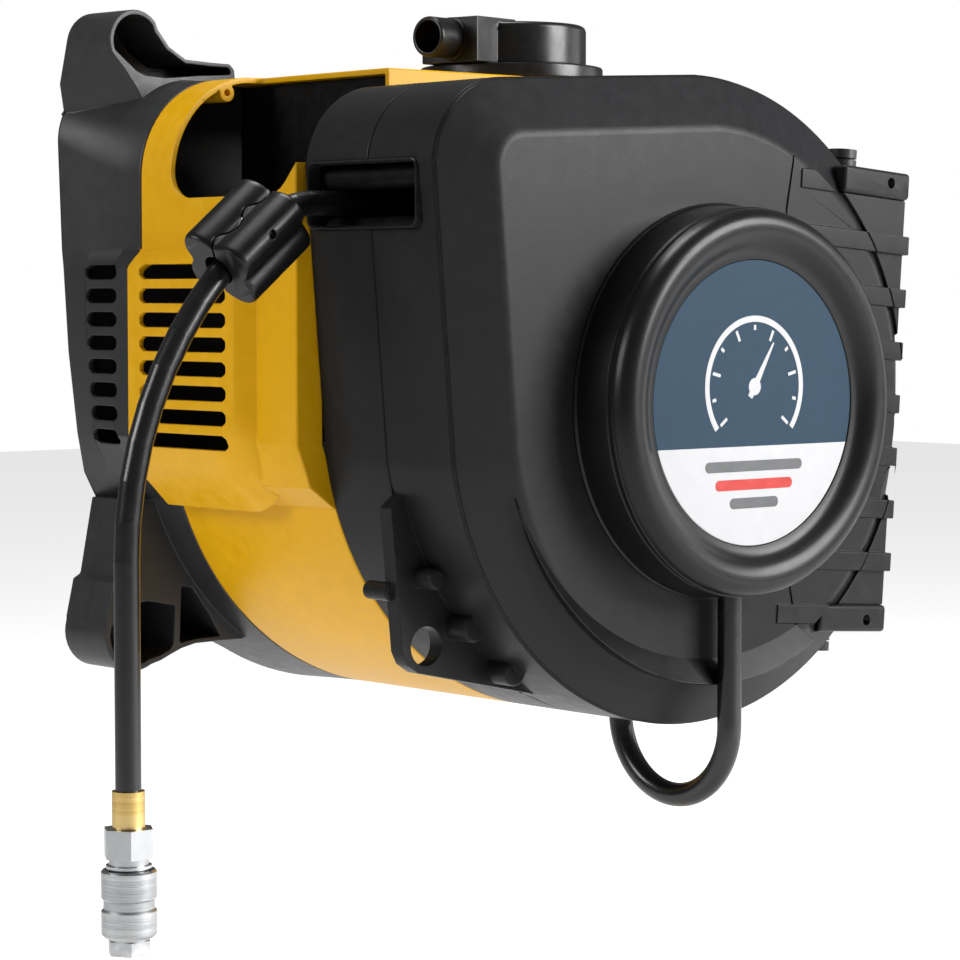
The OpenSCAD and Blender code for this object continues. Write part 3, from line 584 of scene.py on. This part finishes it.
# ---------- yellow shell ----------
def pod_outline(y_front, z_low, z_high, corner):
    return rounded((y_front, z_low), (-50, z_high), (corner, 2, 2, 6), 8)


POD_STATIONS = [
    # place along X, front, bottom, top, corner radius at the bottom of the front
    (-176, -155, -70, 46, 26),
    (-181, -150.5, -61, 41, 22),
    (-184.2, -147.5, -54, 37.5, 19),
    (-185, -145.5, -51, 35.5, 17),
]


def pod_solid(g=0.0):
    """Bulge of the left side wall around its louvres, drawn in by g. Its root stays inside the shell."""
    rings = [(-160, pod_outline(-161 + g, -86 + g, 48 - g, 30))]
    for x, y_front, z_low, z_high, corner in POD_STATIONS:
        rings.append((x + g, pod_outline(y_front + g, z_low + g, z_high - g, corner)))
    return loft("tool", "X", rings)


def mirror_copy(obj):
    """Copy on the other side of X = 0."""
    other = obj.copy()
    other.data = obj.data.copy()
    bpy.context.scene.collection.objects.link(other)
    other.data.transform(Matrix.Diagonal((-1, 1, 1, 1)))
    other.data.flip_normals()
    return other


def middle_shell():
    """Yellow shell with its two pods, louvres, and the openings in its side and its roof."""
    shell = loft("yellow_shell", "Y", [
        (SEAM_Y, body_outline(0.5, 0, 0)), (SEAM_Y - 0.6, body_outline(0, 0, 0)),
        (CASE_Y + 0.8, body_outline(0, 0, 0)), (CASE_Y + 0.1, body_outline(0.6, 0, 0)),
    ])
    pod = pod_solid()
    behind_seam = box("tool", (-230, SEAM_Y, -120), (-140, 0, 80))
    cut(pod, behind_seam)
    join(shell, pod, mirror_copy(pod))
    hollow = loft("tool", "Y", [
        (SEAM_Y + 2, body_outline(WALL, 0, 0)), (CASE_Y + WALL, body_outline(WALL, 0, 0)),
    ])
    throat = prism("tool", "Y", body_outline(16, 0, 0), SEAM_Y + 1, CASE_Y - 1)
    pod_inside = pod_solid(WALL)
    cut(shell, hollow, throat, pod_inside, mirror_copy(pod_inside))
    post_x, post_z = -140, 125.5
    parts = [cylinder("tool", "Y", x, z, SEAM_Y, SEAM_Y - 30, 7.5, 32) for x, z in BOSSES]
    parts.append(cylinder("tool", "Y", post_x, post_z, SEAM_Y, SEAM_Y - 34, 4.6, 32))
    join(shell, *parts)
    tools = louvres(-141, -68, 165, 215)
    window = arc(-98, 85, 14, 270, 360, 8) + [(-84, 170), (-195, 170), (-195, 92), (-188, 88.4)]
    window += [(-184, 84.6), (-181, 81.4), (-177.5, 77.6), (-173.5, 74.2), (-169, 72), (-164, 71)]
    tools.append(prism("tool", "X", window, -230, -150))
    roof_opening = rounded((-230, -195), (-118, -84), (2, 2, 5, 2), 5)
    tools.append(prism("tool", "Z", roof_opening, 98, 175))
    tools.append(cylinder("tool", "Z", CAP_X, SHAFT_Y, 120, 145, 30, 64))
    switch_gap = 0.6
    (y0, y1), (z0, z1) = extent("rocker_switch", "Y"), extent("rocker_switch", "Z")
    low_corner = (168, y0 - switch_gap, z0 - switch_gap)
    tools.append(box("tool", low_corner, (184, y1 + switch_gap, z1 + switch_gap)))
    tools.append(cylinder("tool", "Y", post_x, post_z, SEAM_Y - 20, SEAM_Y - 40, 1.6, 24))
    tools.append(cylinder("tool", "Y", 0, SUPPLY_Z, CASE_Y + 8, CASE_Y - 5, SUPPLY_R, 32))
    for x, z in BOSSES:
        tools.append(cylinder("tool", "Y", x, z, SEAM_Y + 1, SEAM_Y - 24, 1.6, 24))
    cut(shell, *tools)
    polish(shell, 0.8)
    finish_piece(shell, "root", MATERIALS["yellow_plastic"], "yellow_plastic", "middle_shell")


# ---------- reel casing ----------
def beyond_block(g=0.0):
    """Everything to the right of the ribbed block's right face, starting g further left."""
    return lean(box("tool", (BLOCK_X - g, -400, -250), (320, 0, 250)))


def outlet_tool():
    """Opening in the left side for the air hose."""
    opening = rounded((OUTLET_Y0, OUTLET_Z0), (OUTLET_Y1 + 0.1, OUTLET_Z1), 5, 5)
    return prism("tool", "X", opening, -195, -150)


def supply_tool(top_z):
    """Hole through the underside for the lead-in hose."""
    return cylinder("tool", "Z", 0, SUPPLY_Y, -200, top_z, SUPPLY_R, 48)


def reel_rear_half():
    half = loft("reel_casing_rear", "Y", [
        (CASE_Y, case_outline(0.8)), (CASE_Y - 0.8, case_outline(0)),
        (CASE_MID_Y + 0.5, case_outline(0)), (CASE_MID_Y, case_outline(0.5)),
    ])
    cut(half, beyond_block())
    hollow = prism("tool", "Y", case_outline(WALL), CASE_Y - WALL, CASE_MID_Y - WALL)
    cut(hollow, beyond_block(WALL))
    y0, y1, screw_circle = CASE_Y + 2, CASE_Y - 9, 110
    tools = [hollow, outlet_tool()]
    tools.append(cylinder("tool", "Y", 0, HUB_Z, y0, y1, 8.1, 48))
    tools.append(supply_tool(-170))
    tools.append(cylinder("tool", "Y", 0, SUPPLY_Z, y0, y1, SUPPLY_R, 48))
    for a in (35, 145, 178, 325):
        x = screw_circle * math.cos(math.radians(a))
        z = HUB_Z + screw_circle * math.sin(math.radians(a))
        tools.append(cylinder("tool", "Y", x, z, y0, y1, 2.3, 24))
    cut(half, *tools)
    polish(half, 0.6)
    finish_piece(half, "root", MATERIALS["case_plastic"], "grey_plastic", "reel_rear_half")


def crescent():
    """Lip under the hub, which rises outwards from the face to a ridge; near-black as painted shade."""
    height, soft = 7.2, 0.4
    lip = loft("crescent_look", "Y", [
        (FACE_Y + 1, circle(0, HUB_Z, RIDGE_R, 144)),
        (FACE_Y - (height - soft), circle(0, HUB_Z, RIDGE_R, 144)),
        (FACE_Y - height, circle(0, HUB_Z, RIDGE_R - 0.5, 144)),
    ])
    slope = 12 / height
    inner_z, inner_r = HUB_Z + 22, 149
    cone = loft("tool", "Y", [
        (FACE_Y + 1.5, circle(0, inner_z, inner_r - 1.5 * slope, 144)),
        (FACE_Y - 10, circle(0, inner_z, inner_r + 10 * slope, 144)),
    ])
    beside_block = [(59, 0), (59, -144), (72, -158), (72, -220), (200, -220), (200, 0)]
    cut(lip, cone, prism("tool", "Y", beside_block, FACE_Y + 2, FACE_Y - 10))
    polish(lip, 0.5, angle=30)
    finish_piece(lip, "root", MATERIALS["lip_plastic"], "black_plastic")


def ribs():
    """Bands around the ribbed block. The first and last lie on the face only and stop short of its ridge."""
    proud, root_y, left = FACE_Y - 1, FACE_Y + 2, 52
    x1, x2, y_back = BLOCK_X - 2, BLOCK_X + 2, CASE_MID_Y - 0.2
    whole_band = [(left, proud), (x2, proud), (x2, y_back), (x1, y_back), (x1, root_y), (left, root_y)]
    short_band = [(left, proud), (x2, proud), (x2, root_y), (left, root_y)]
    bands = []
    for i in range(-1, 8):
        z = RIB_TOP - RIB_PITCH * i
        whole = 0 <= i < 7
        rib = lean(prism("tool", "Z", whole_band if whole else short_band, z, z + RIB_H))
        if not whole:
            outer = cylinder("tool", "Y", 0, HUB_Z, FACE_Y + 5, FACE_Y - 5, 220, 96)
            cut(outer, cylinder("tool", "Y", 0, HUB_Z, FACE_Y + 6, FACE_Y - 6, 135.5, 144))
            cut(rib, outer)
        cut(rib, cylinder("tool", "Y", 0, HUB_Z, FACE_Y + 1.2, FACE_Y - 5, 97.8, 128))
        if whole:
            cut(rib, ring_part("tool", 0, HUB_Z, 138.9, 139.7, -64, 64, FACE_Y - 0.35, FACE_Y - 3))
        bands.append(rib)
    return bands


FLANGE = [(-164, -78), (-157, -147), (-154, -153), (-147, -157.6), (-69, -174.7), (-60, -150), (-140, -60)]
FLANGE_Y = CASE_MID_Y - 9
STUDS = [(-146, -112, 13, 5), (-124, -137, 15, 6.5), (-98, -160, 15, 6.5)]  # x, z, length, radius


def corner_flange():
    """Flange at the lower left of the reel casing, with its studs."""
    parts = [prism("tool", "Y", FLANGE, CASE_MID_Y - 0.25, FLANGE_Y)]
    for x, z, length, r in STUDS:
        parts.append(cylinder("tool", "Y", x, z, CASE_MID_Y - 2, FLANGE_Y - length, r, 32, 0.8))
    parts.append(cylinder("tool", "Y", -160, -118, CASE_MID_Y - 5, CASE_MID_Y + 12, 4.5, 32, 0.6))
    return parts


def reel_front_half():
    half = loft("reel_casing_front", "Y", [
        (CASE_MID_Y - 0.1, case_outline(0.5)), (CASE_MID_Y - 0.6, case_outline(0)),
        (EDGE_Y + 1.6, case_outline(0)), (EDGE_Y + 1.2, case_outline(0.2)),
        (EDGE_Y + 0.7, case_outline(1.1)), (EDGE_Y - 0.1, case_outline(1.1)),
        (EDGE_Y - 0.5, case_outline(0.5)), (EDGE_Y - 1.2, case_outline(1.6)),
        (FACE_Y + 1.6, case_outline(BEVEL_IN - 2.8)), (FACE_Y + 0.5, case_outline(BEVEL_IN - 0.6)),
        (FACE_Y, case_outline(BEVEL_IN + 2)),
    ])
    cut(half, beyond_block())
    low_corner = (BLOCK_LEFT_X, FACE_Y + 1.5, BLOCK_LOW)
    high_corner = (BLOCK_X + 0.05, CASE_MID_Y - 0.15, BLOCK_TOP)
    block = lean(box("tool", low_corner, high_corner))
    cut(
        block,
        prism("tool", "Y", case_outline(1), CASE_MID_Y + 1, EDGE_Y - 2),
        cylinder("tool", "Y", 0, HUB_Z, 0, FACE_Y - 5, 141, 144),
    )
    join(half, block, *ribs(), *corner_flange())
    hollow = loft("tool", "Y", [
        (CASE_MID_Y + 2, case_outline(WALL)), (EDGE_Y + 2, case_outline(WALL + 0.2)),
        (FACE_Y + WALL, case_outline(BEVEL_IN + 3.5)),
    ])
    cut(hollow, beyond_block(WALL))
    tools = [hollow, outlet_tool(), supply_tool(-180)]
    tools.append(cylinder("tool", "Y", 0, HUB_Z, FACE_Y + 5, FACE_Y - 5, 40, 64))
    tools.append(cylinder("tool", "Y", -142, -145, CASE_MID_Y + 2, CASE_MID_Y - 12, 9.4, 48))
    for z in (PIN_TOP, PIN_LOW):
        tools.append(lean(cylinder("tool", "Z", PIN_X, PIN_Y, z, z + PIN_LENGTH, PIN_R, 32)))
    seam = [(57.6, 103), (50, 66), (54, -125), (59, -146)]
    strip = [(x - 0.4, z) for x, z in seam] + [(x + 0.4, z) for x, z in reversed(seam)]
    tools.append(prism("tool", "Y", strip, FACE_Y + 0.6, FACE_Y - 0.5))
    cut(half, *tools)
    polish(half, 0.6)
    finish_piece(half, "root", MATERIALS["case_plastic"], "grey_plastic", "reel_front_half")


# ---------- hub ----------
def hub_cover():
    """Turned cover: base lip, side with a groove, round rim and the sunk seat of the disc."""
    profile = [
        (93, 0.1), (97.3, 0.1), (97.5, 0.3), (97.5, 1.1), (97.2, 1.5), (96.5, 1.8), (96.3, 4),
        (95.6, 14), (95.1, 20.6), (94.6, 20.9), (94.6, 21.5), (95, 21.8), (95, 24), (94.6, 24.4),
        (94.3, 25), (94.6, 25.4),
    ]
    rim_r, rim_h, rim_round = 86.5, 25, 8
    for a in range(9, 91, 9):
        c, h = math.cos(math.radians(a)), math.sin(math.radians(a))
        profile.append((rim_r + rim_round * c, rim_h + rim_round * h))
    profile += [
        (84.5, 32.9), (82.5, 32.5), (80.6, 31.8), (78.8, 30.7), (77.1, 29.3), (75.5, 27.9), (74, 26.9),
        (72.2, 26.3), (70.3, 26.1), (69.7, 25.9), (69.6, 24.9), (30, 24.9), (0, 24.9), (0, 22.7),
        (30, 22.7), (73, 22.9), (79, 26), (84, 28.5), (88, 28.8), (91, 26.5), (92, 22), (92, 8), (93, 4),
    ]
    cover = lathe("hub_cover_look", (0, FACE_Y, HUB_Z), profile, n=160)
    cut(cover, cylinder("tool", "Z", 0, LEAD_Y, HUB_Z - 120, HUB_Z - 60, HOSE_R + 0.4, 48))
    polish(cover, 0.4, angle=50)
    finish_piece(cover, "root", MATERIALS["hub_plastic"], "grey_plastic", "hub_cover")


def label_disc():
    """Two-tone disc with a plain dial pictogram and three bars in place of any lettering."""
    back, front = FACE_Y - 24.95, FACE_Y - 25.7
    r, split = 69.5, HUB_Z - 21
    a = math.degrees(math.asin((split - HUB_Z) / r))
    fields = []
    for name, a0, a1 in (("label_blue", a, 180 - a), ("label_white", 180 - a, 360 + a)):
        whole, small = arc(0, HUB_Z, r, a0, a1, 96), arc(0, HUB_Z, r - 0.2, a0, a1, 96)
        fields.append(loft(name, "Y", [(back, whole), (front + 0.2, whole), (front, small)]))
    for piece, look in zip(fields, ("disc_blue", "disc_white")):
        polish(piece, 0)
        finish_piece(piece, "root", MATERIALS[look], "disc_print", "label_disc")
    root, proud = front + 0.1, front - 0.12
    cx, cz = 0, HUB_Z + 8

    def turned(obj, degrees):
        """From the dial's own centre to its place, turned about the dial's axis."""
        turn = Matrix.Rotation(-math.radians(degrees), 4, "Y")
        return transform(obj, Matrix.Translation((cx * MM, 0, cz * MM)) @ turn)

    dial_start, tick_step = -38, 25.6
    dial = ring_part("dial_marks", cx, cz, 31.5, 34.5, dial_start, 218, root, proud, 72)
    marks = []
    for i in range(11):
        length = 7 if i % 2 == 0 else 4
        tick = box("tool", (31.5 - length, proud, -0.8), (30, root, 0.8))
        marks.append(turned(tick, dial_start + tick_step * i))
    needle = [(-6, -1.6), (0, -2), (25, -0.5), (25, 0.5), (0, 2), (-6, 1.6)]
    marks.append(turned(prism("tool", "Y", needle, root, proud), 58))
    marks.append(cylinder("tool", "Y", cx, cz, root, proud - 0.05, 4.2, 40))
    join(dial, *marks)
    polish(dial, 0)
    finish_piece(dial, "root", MATERIALS["disc_white"], "disc_print")
    bars = []
    for i, (half, z) in enumerate(((34, -60.5), (27, -69.5), (17, -78.5))):
        outline = rounded((-half, z - 2.6), (half, z + 2.6), 2.5, 6)
        bars.append(prism("label_bar_%d" % i, "Y", outline, root, proud))
    for bar, look in zip(bars, ("disc_grey", "red_plastic", "disc_grey")):
        polish(bar, 0)
        finish_piece(bar, "root", MATERIALS[look], "disc_print")


# ---------- outlet, block caps, filter ----------
def outlet_bezel():
    """Thin frame around the outlet: a closed ring of six cross-section points."""
    section = ((-164.8, 0), (-171, 0), (-171.9, -0.5), (-171.9, -1), (-170.4, -1.8), (-164.8, -1.8))
    rings = []
    for x, grow in section:
        low, high = (OUTLET_Y0 - grow, OUTLET_Z0 - grow), (OUTLET_Y1 + grow, OUTLET_Z1 + grow)
        rings.append((x, rounded(low, high, 5 + grow, 6)))
    verts = [(x, y, z) for x, outline in rings for y, z in outline]
    bezel = new_object("outlet_bezel_look", verts, closed_grid(len(rings), len(rings[0][1])))
    polish(bezel, 0)
    finish_piece(bezel, "root", MATERIALS["case_plastic"], "black_plastic", "outlet_bezel")


def hinge_block_caps():
    """End caps of the ribbed block, cut to the casing's bevel, each with a pin hole and a screw hole."""
    height, hole_in = 14, 8
    x_end, y_front, y_back = BLOCK_X + 3, FACE_Y - 1, CASE_MID_Y + 2
    outline = [
        (BLOCK_LEFT_X, y_front), (x_end - 4, y_front), (x_end, y_front + 5), (x_end, y_back),
        (BLOCK_LEFT_X, y_back),
    ]
    top = (BLOCK_TOP + 0.1, PIN_TOP, BLOCK_TOP + hole_in)
    low = (BLOCK_LOW - height - 0.1, PIN_LOW, BLOCK_LOW - hole_in)
    caps = []
    for z, pin_z, hole_z in (top, low):
        cap = lean(prism("block_caps", "Z", outline, z, z + height))
        cut(cap, loft("tool", "Y", [
            (CASE_Y + 1, circle(0, HUB_Z, CASE_R + 1, 144)), (EDGE_Y, circle(0, HUB_Z, CASE_R + 1, 144)),
            (FACE_Y - 3, circle(0, HUB_Z, CASE_R - BEVEL_IN - 4.4, 144)),
        ]))
        polish(cap, 2.2, angle=60, segments=4)
        cut(cap, lean(cylinder("tool", "Z", PIN_X, PIN_Y, pin_z, pin_z + PIN_LENGTH, PIN_R, 32)))
        cut(cap, lean(cylinder("tool", "Y", PIN_X, hole_z, FACE_Y + 8, FACE_Y - 5, 2.8, 32)))
        caps.append(cap)
    both = join(*caps)
    polish(both, 0)
    finish_piece(both, "root", MATERIALS["case_plastic"], "grey_plastic", "hinge_block_cap")


def filter_parts():
    """Filter base on the roof, and the cap with its spout, which twists on it."""
    base = lathe("filter_base_look", (CAP_X, SHAFT_Y, 0), [
        (25, 124), (29.5, 124), (29.5, 136.6), (48.2, 136.6), (49, 137.4), (49, 142.8), (48.4, 143.7),
        (47.4, 144), (42, 144), (25, 144),
    ], axis="Z", n=96, sign=1)
    polish(base, 0.3, angle=50)
    finish_piece(base, "root", MATERIALS["cap_plastic"], "cap_plastic", "filter_base")
    z0 = extent("filter_cap", "Z")[0]
    cap = lathe("filter_cap_look", (CAP_X, SHAFT_Y, 0), [
        (0, z0), (39.4, z0), (40, z0 + 0.6), (40, z0 + 19), (39.3, z0 + 21), (37.6, z0 + 22),
        (30, z0 + 22), (28.5, z0 + 21.2), (0, z0 + 21.2),
    ], axis="Z", n=96, sign=1)
    # the spout and its block point to the left, turned a little towards the front
    turn = Matrix.Translation((CAP_X * MM, SHAFT_Y * MM, 0)) @ Matrix.Rotation(math.radians(9), 4, "Z")
    body = transform(box("tool", (-52, -19, z0 + 0.01), (-20, 19, z0 + 23.6)), turn)
    spout_z, spout_r = z0 + 12.6, 10.5
    spout = transform(loft("tool", "X", [
        (-70, circle(0, spout_z, spout_r - 0.8, 64)), (-69.2, circle(0, spout_z, spout_r, 64)),
        (-45, circle(0, spout_z, spout_r, 64)),
    ]), turn)
    join(cap, body, spout)
    cut(
        cap,
        cylinder("tool", "Z", CAP_X, SHAFT_Y, z0 - 1, z0 + 19, 37, 96),
        transform(cylinder("tool", "X", 0, spout_z, -75, -36, 8.2, 64), turn),
    )
    polish(cap, 0.6, angle=40)
    finish_piece(cap, "air_cap", MATERIALS["cap_plastic"], "cap_plastic", "filter_cap")


# ---------- stopper on the hose ----------
def stopper_place():
    """Where the stopper sits: on the hose's second bend, just below the first one."""
    tail_x, bend1_r, bend1_a, straight, bend2_r = -180, 45, 35, 4, 188
    s, c = math.sin(math.radians(bend1_a)), math.cos(math.radians(bend1_a))
    x, z = tail_x - bend1_r * s, HOSE_Z - bend1_r * (1 - c)
    centre_x, centre_z = x - straight * c + bend2_r * s, z - straight * s - bend2_r * c
    angle = 90 + bend1_a + 4
    rad = math.radians(angle)
    x, z = centre_x + bend2_r * math.cos(rad), centre_z + bend2_r * math.sin(rad)
    along_hose = Matrix.Rotation(math.radians(90 - angle), 4, "Y")
    about_hose = Matrix.Rotation(math.radians(25), 4, "X")
    return Matrix.Translation((x * MM, HOSE_Y * MM, z * MM)) @ along_hose @ about_hose


def stopper_section(scale, n=96):
    """Rounded square with a flute in the middle of each side."""
    power = 4.4
    pts = []
    for i in range(n):
        t = 2 * math.pi * i / n
        cs, sn = math.cos(t), math.sin(t)
        k = (abs(cs) ** power + abs(sn) ** power) ** (-1 / power)
        side_angle = math.degrees(math.atan2(min(abs(cs), abs(sn)), max(abs(cs), abs(sn))))
        flute = 1 - 0.15 * math.exp(-((side_angle / 15) ** 2))
        pts.append((19.5 * k * cs * scale * flute, 17 * k * sn * scale * flute))
    return pts


def stopper():
    """Two fluted rubber halves that clamp the hose, with a wavy joint between them."""
    end = ((22, 0.93), (21.5, 0.965), (20.5, 0.99), (19, 1.0))
    rings = [(-w, k) for w, k in end] + [(w, k) for w, k in reversed(end)]
    block = loft("stopper_look", "X", [(w, stopper_section(k)) for w, k in rings])
    tools = [cylinder("tool", "X", 0, 0, -40, 40, HOSE_R + 1.7, 48)]
    for z in (-12, 12):
        tools.append(cylinder("tool", "Y", 0, z, 40, -40, 2.1, 24))
    wave = [(-30 + i, 2.6 * math.sin((-30 + i) / 44 * 4 * math.pi)) for i in range(61)]
    sheet = [(w, v - 0.35) for w, v in wave] + [(w, v + 0.35) for w, v in reversed(wave)]
    tools.append(prism("tool", "Z", sheet, -30, 30))
    cut(block, *tools)
    polish(block, 0.6, angle=40)
    transform(block, stopper_place())
    finish_piece(block, "hose_end", MATERIALS["rubber"], "rubber", "stopper_halves")


# ---------- floor, light and camera (in metres) ----------
def seen_by_camera(tree, hidden, seen):
    """A strength that is lower for the light that falls on the object than for the camera."""
    path = tree.nodes.new("ShaderNodeLightPath")
    return ramp(tree, path.outputs["Is Camera Ray"], 0, 1, hidden, seen)


def stage():
    bm = bmesh.new()
    bmesh.ops.create_grid(bm, x_segments=2, y_segments=2, size=6)
    mesh = bpy.data.meshes.new("floor")
    bm.to_mesh(mesh)
    bm.free()
    floor = bpy.data.objects.new("floor", mesh)
    floor.location.z = -0.42
    bpy.context.scene.collection.objects.link(floor)
    pale = bpy.data.materials.new("floor_pale")
    pale.use_nodes = True
    tree = pale.node_tree
    bsdf = tree.nodes["Principled BSDF"]
    bsdf.inputs["Base Color"].default_value = (0.9, 0.9, 0.9, 1)
    bsdf.inputs["Roughness"].default_value = 0.9
    bsdf.inputs["Emission Color"].default_value = (1, 1, 1, 1)
    tree.links.new(seen_by_camera(tree, 0.12, 0.66), bsdf.inputs["Emission Strength"])
    mesh.materials.append(pale)


def area(name, place, target, size, power):
    data = bpy.data.lights.new(name, "AREA")
    data.size, data.energy = size, power
    lamp = bpy.data.objects.new(name, data)
    lamp.location = place
    direction = Vector(target) - Vector(place)
    lamp.rotation_euler = direction.to_track_quat("-Z", "Y").to_euler()
    bpy.context.scene.collection.objects.link(lamp)


def lights():
    centre = (-0.02, -0.2, -0.05)
    area("key", (1.25, -2.0, 0.75), centre, 1.2, 84)
    area("left", (-1.75, 0.35, 0.75), centre, 0.7, 14)
    area("top", (0.0, 0.1, 1.8), centre, 0.8, 22)
    area("right", (1.6, -0.6, 0.1), centre, 0.7, 3)
    world = bpy.data.worlds.new("studio")
    bpy.context.scene.world = world
    world.use_nodes = True
    tree = world.node_tree
    background = tree.nodes["Background"]
    tree.links.new(seen_by_camera(tree, 0.13, 1.0), background.inputs["Strength"])
    background.inputs["Color"].default_value = (1, 1, 1, 1)


def camera():
    """Long lens, 41.6 degrees round to the left of the hub and 3.46 degrees above it. The line of sight
    passes the hub on its left and below it."""
    turn, pitch = math.radians(41.6), math.radians(3.46)
    distance, hub_right, hub_up = 1.496, 0.13306, 0.03746
    data = bpy.data.cameras.new("camera")
    data.sensor_width, data.lens = 36, 115.3
    data.clip_start, data.clip_end = 0.05, 50
    cam = bpy.data.objects.new("camera", data)
    right = Vector((math.cos(turn), -math.sin(turn), 0))
    forward = Vector((math.sin(turn) * math.cos(pitch), math.cos(turn) * math.cos(pitch), -math.sin(pitch)))
    up = right.cross(forward)
    hub = Vector((0, FACE_Y - 25, HUB_Z)) * MM
    cam.location = hub - distance * forward - hub_right * right - hub_up * up
    cam.rotation_euler = forward.to_track_quat("-Z", "Y").to_euler()
    bpy.context.scene.collection.objects.link(cam)
    bpy.context.scene.camera = cam


rear_housing()
middle_shell()
reel_rear_half()
crescent()
reel_front_half()
hub_cover()
label_disc()
outlet_bezel()
hinge_block_caps()
filter_parts()
stopper()
stage()
lights()
camera()
bpy.context.scene.view_settings.view_transform = "Standard"
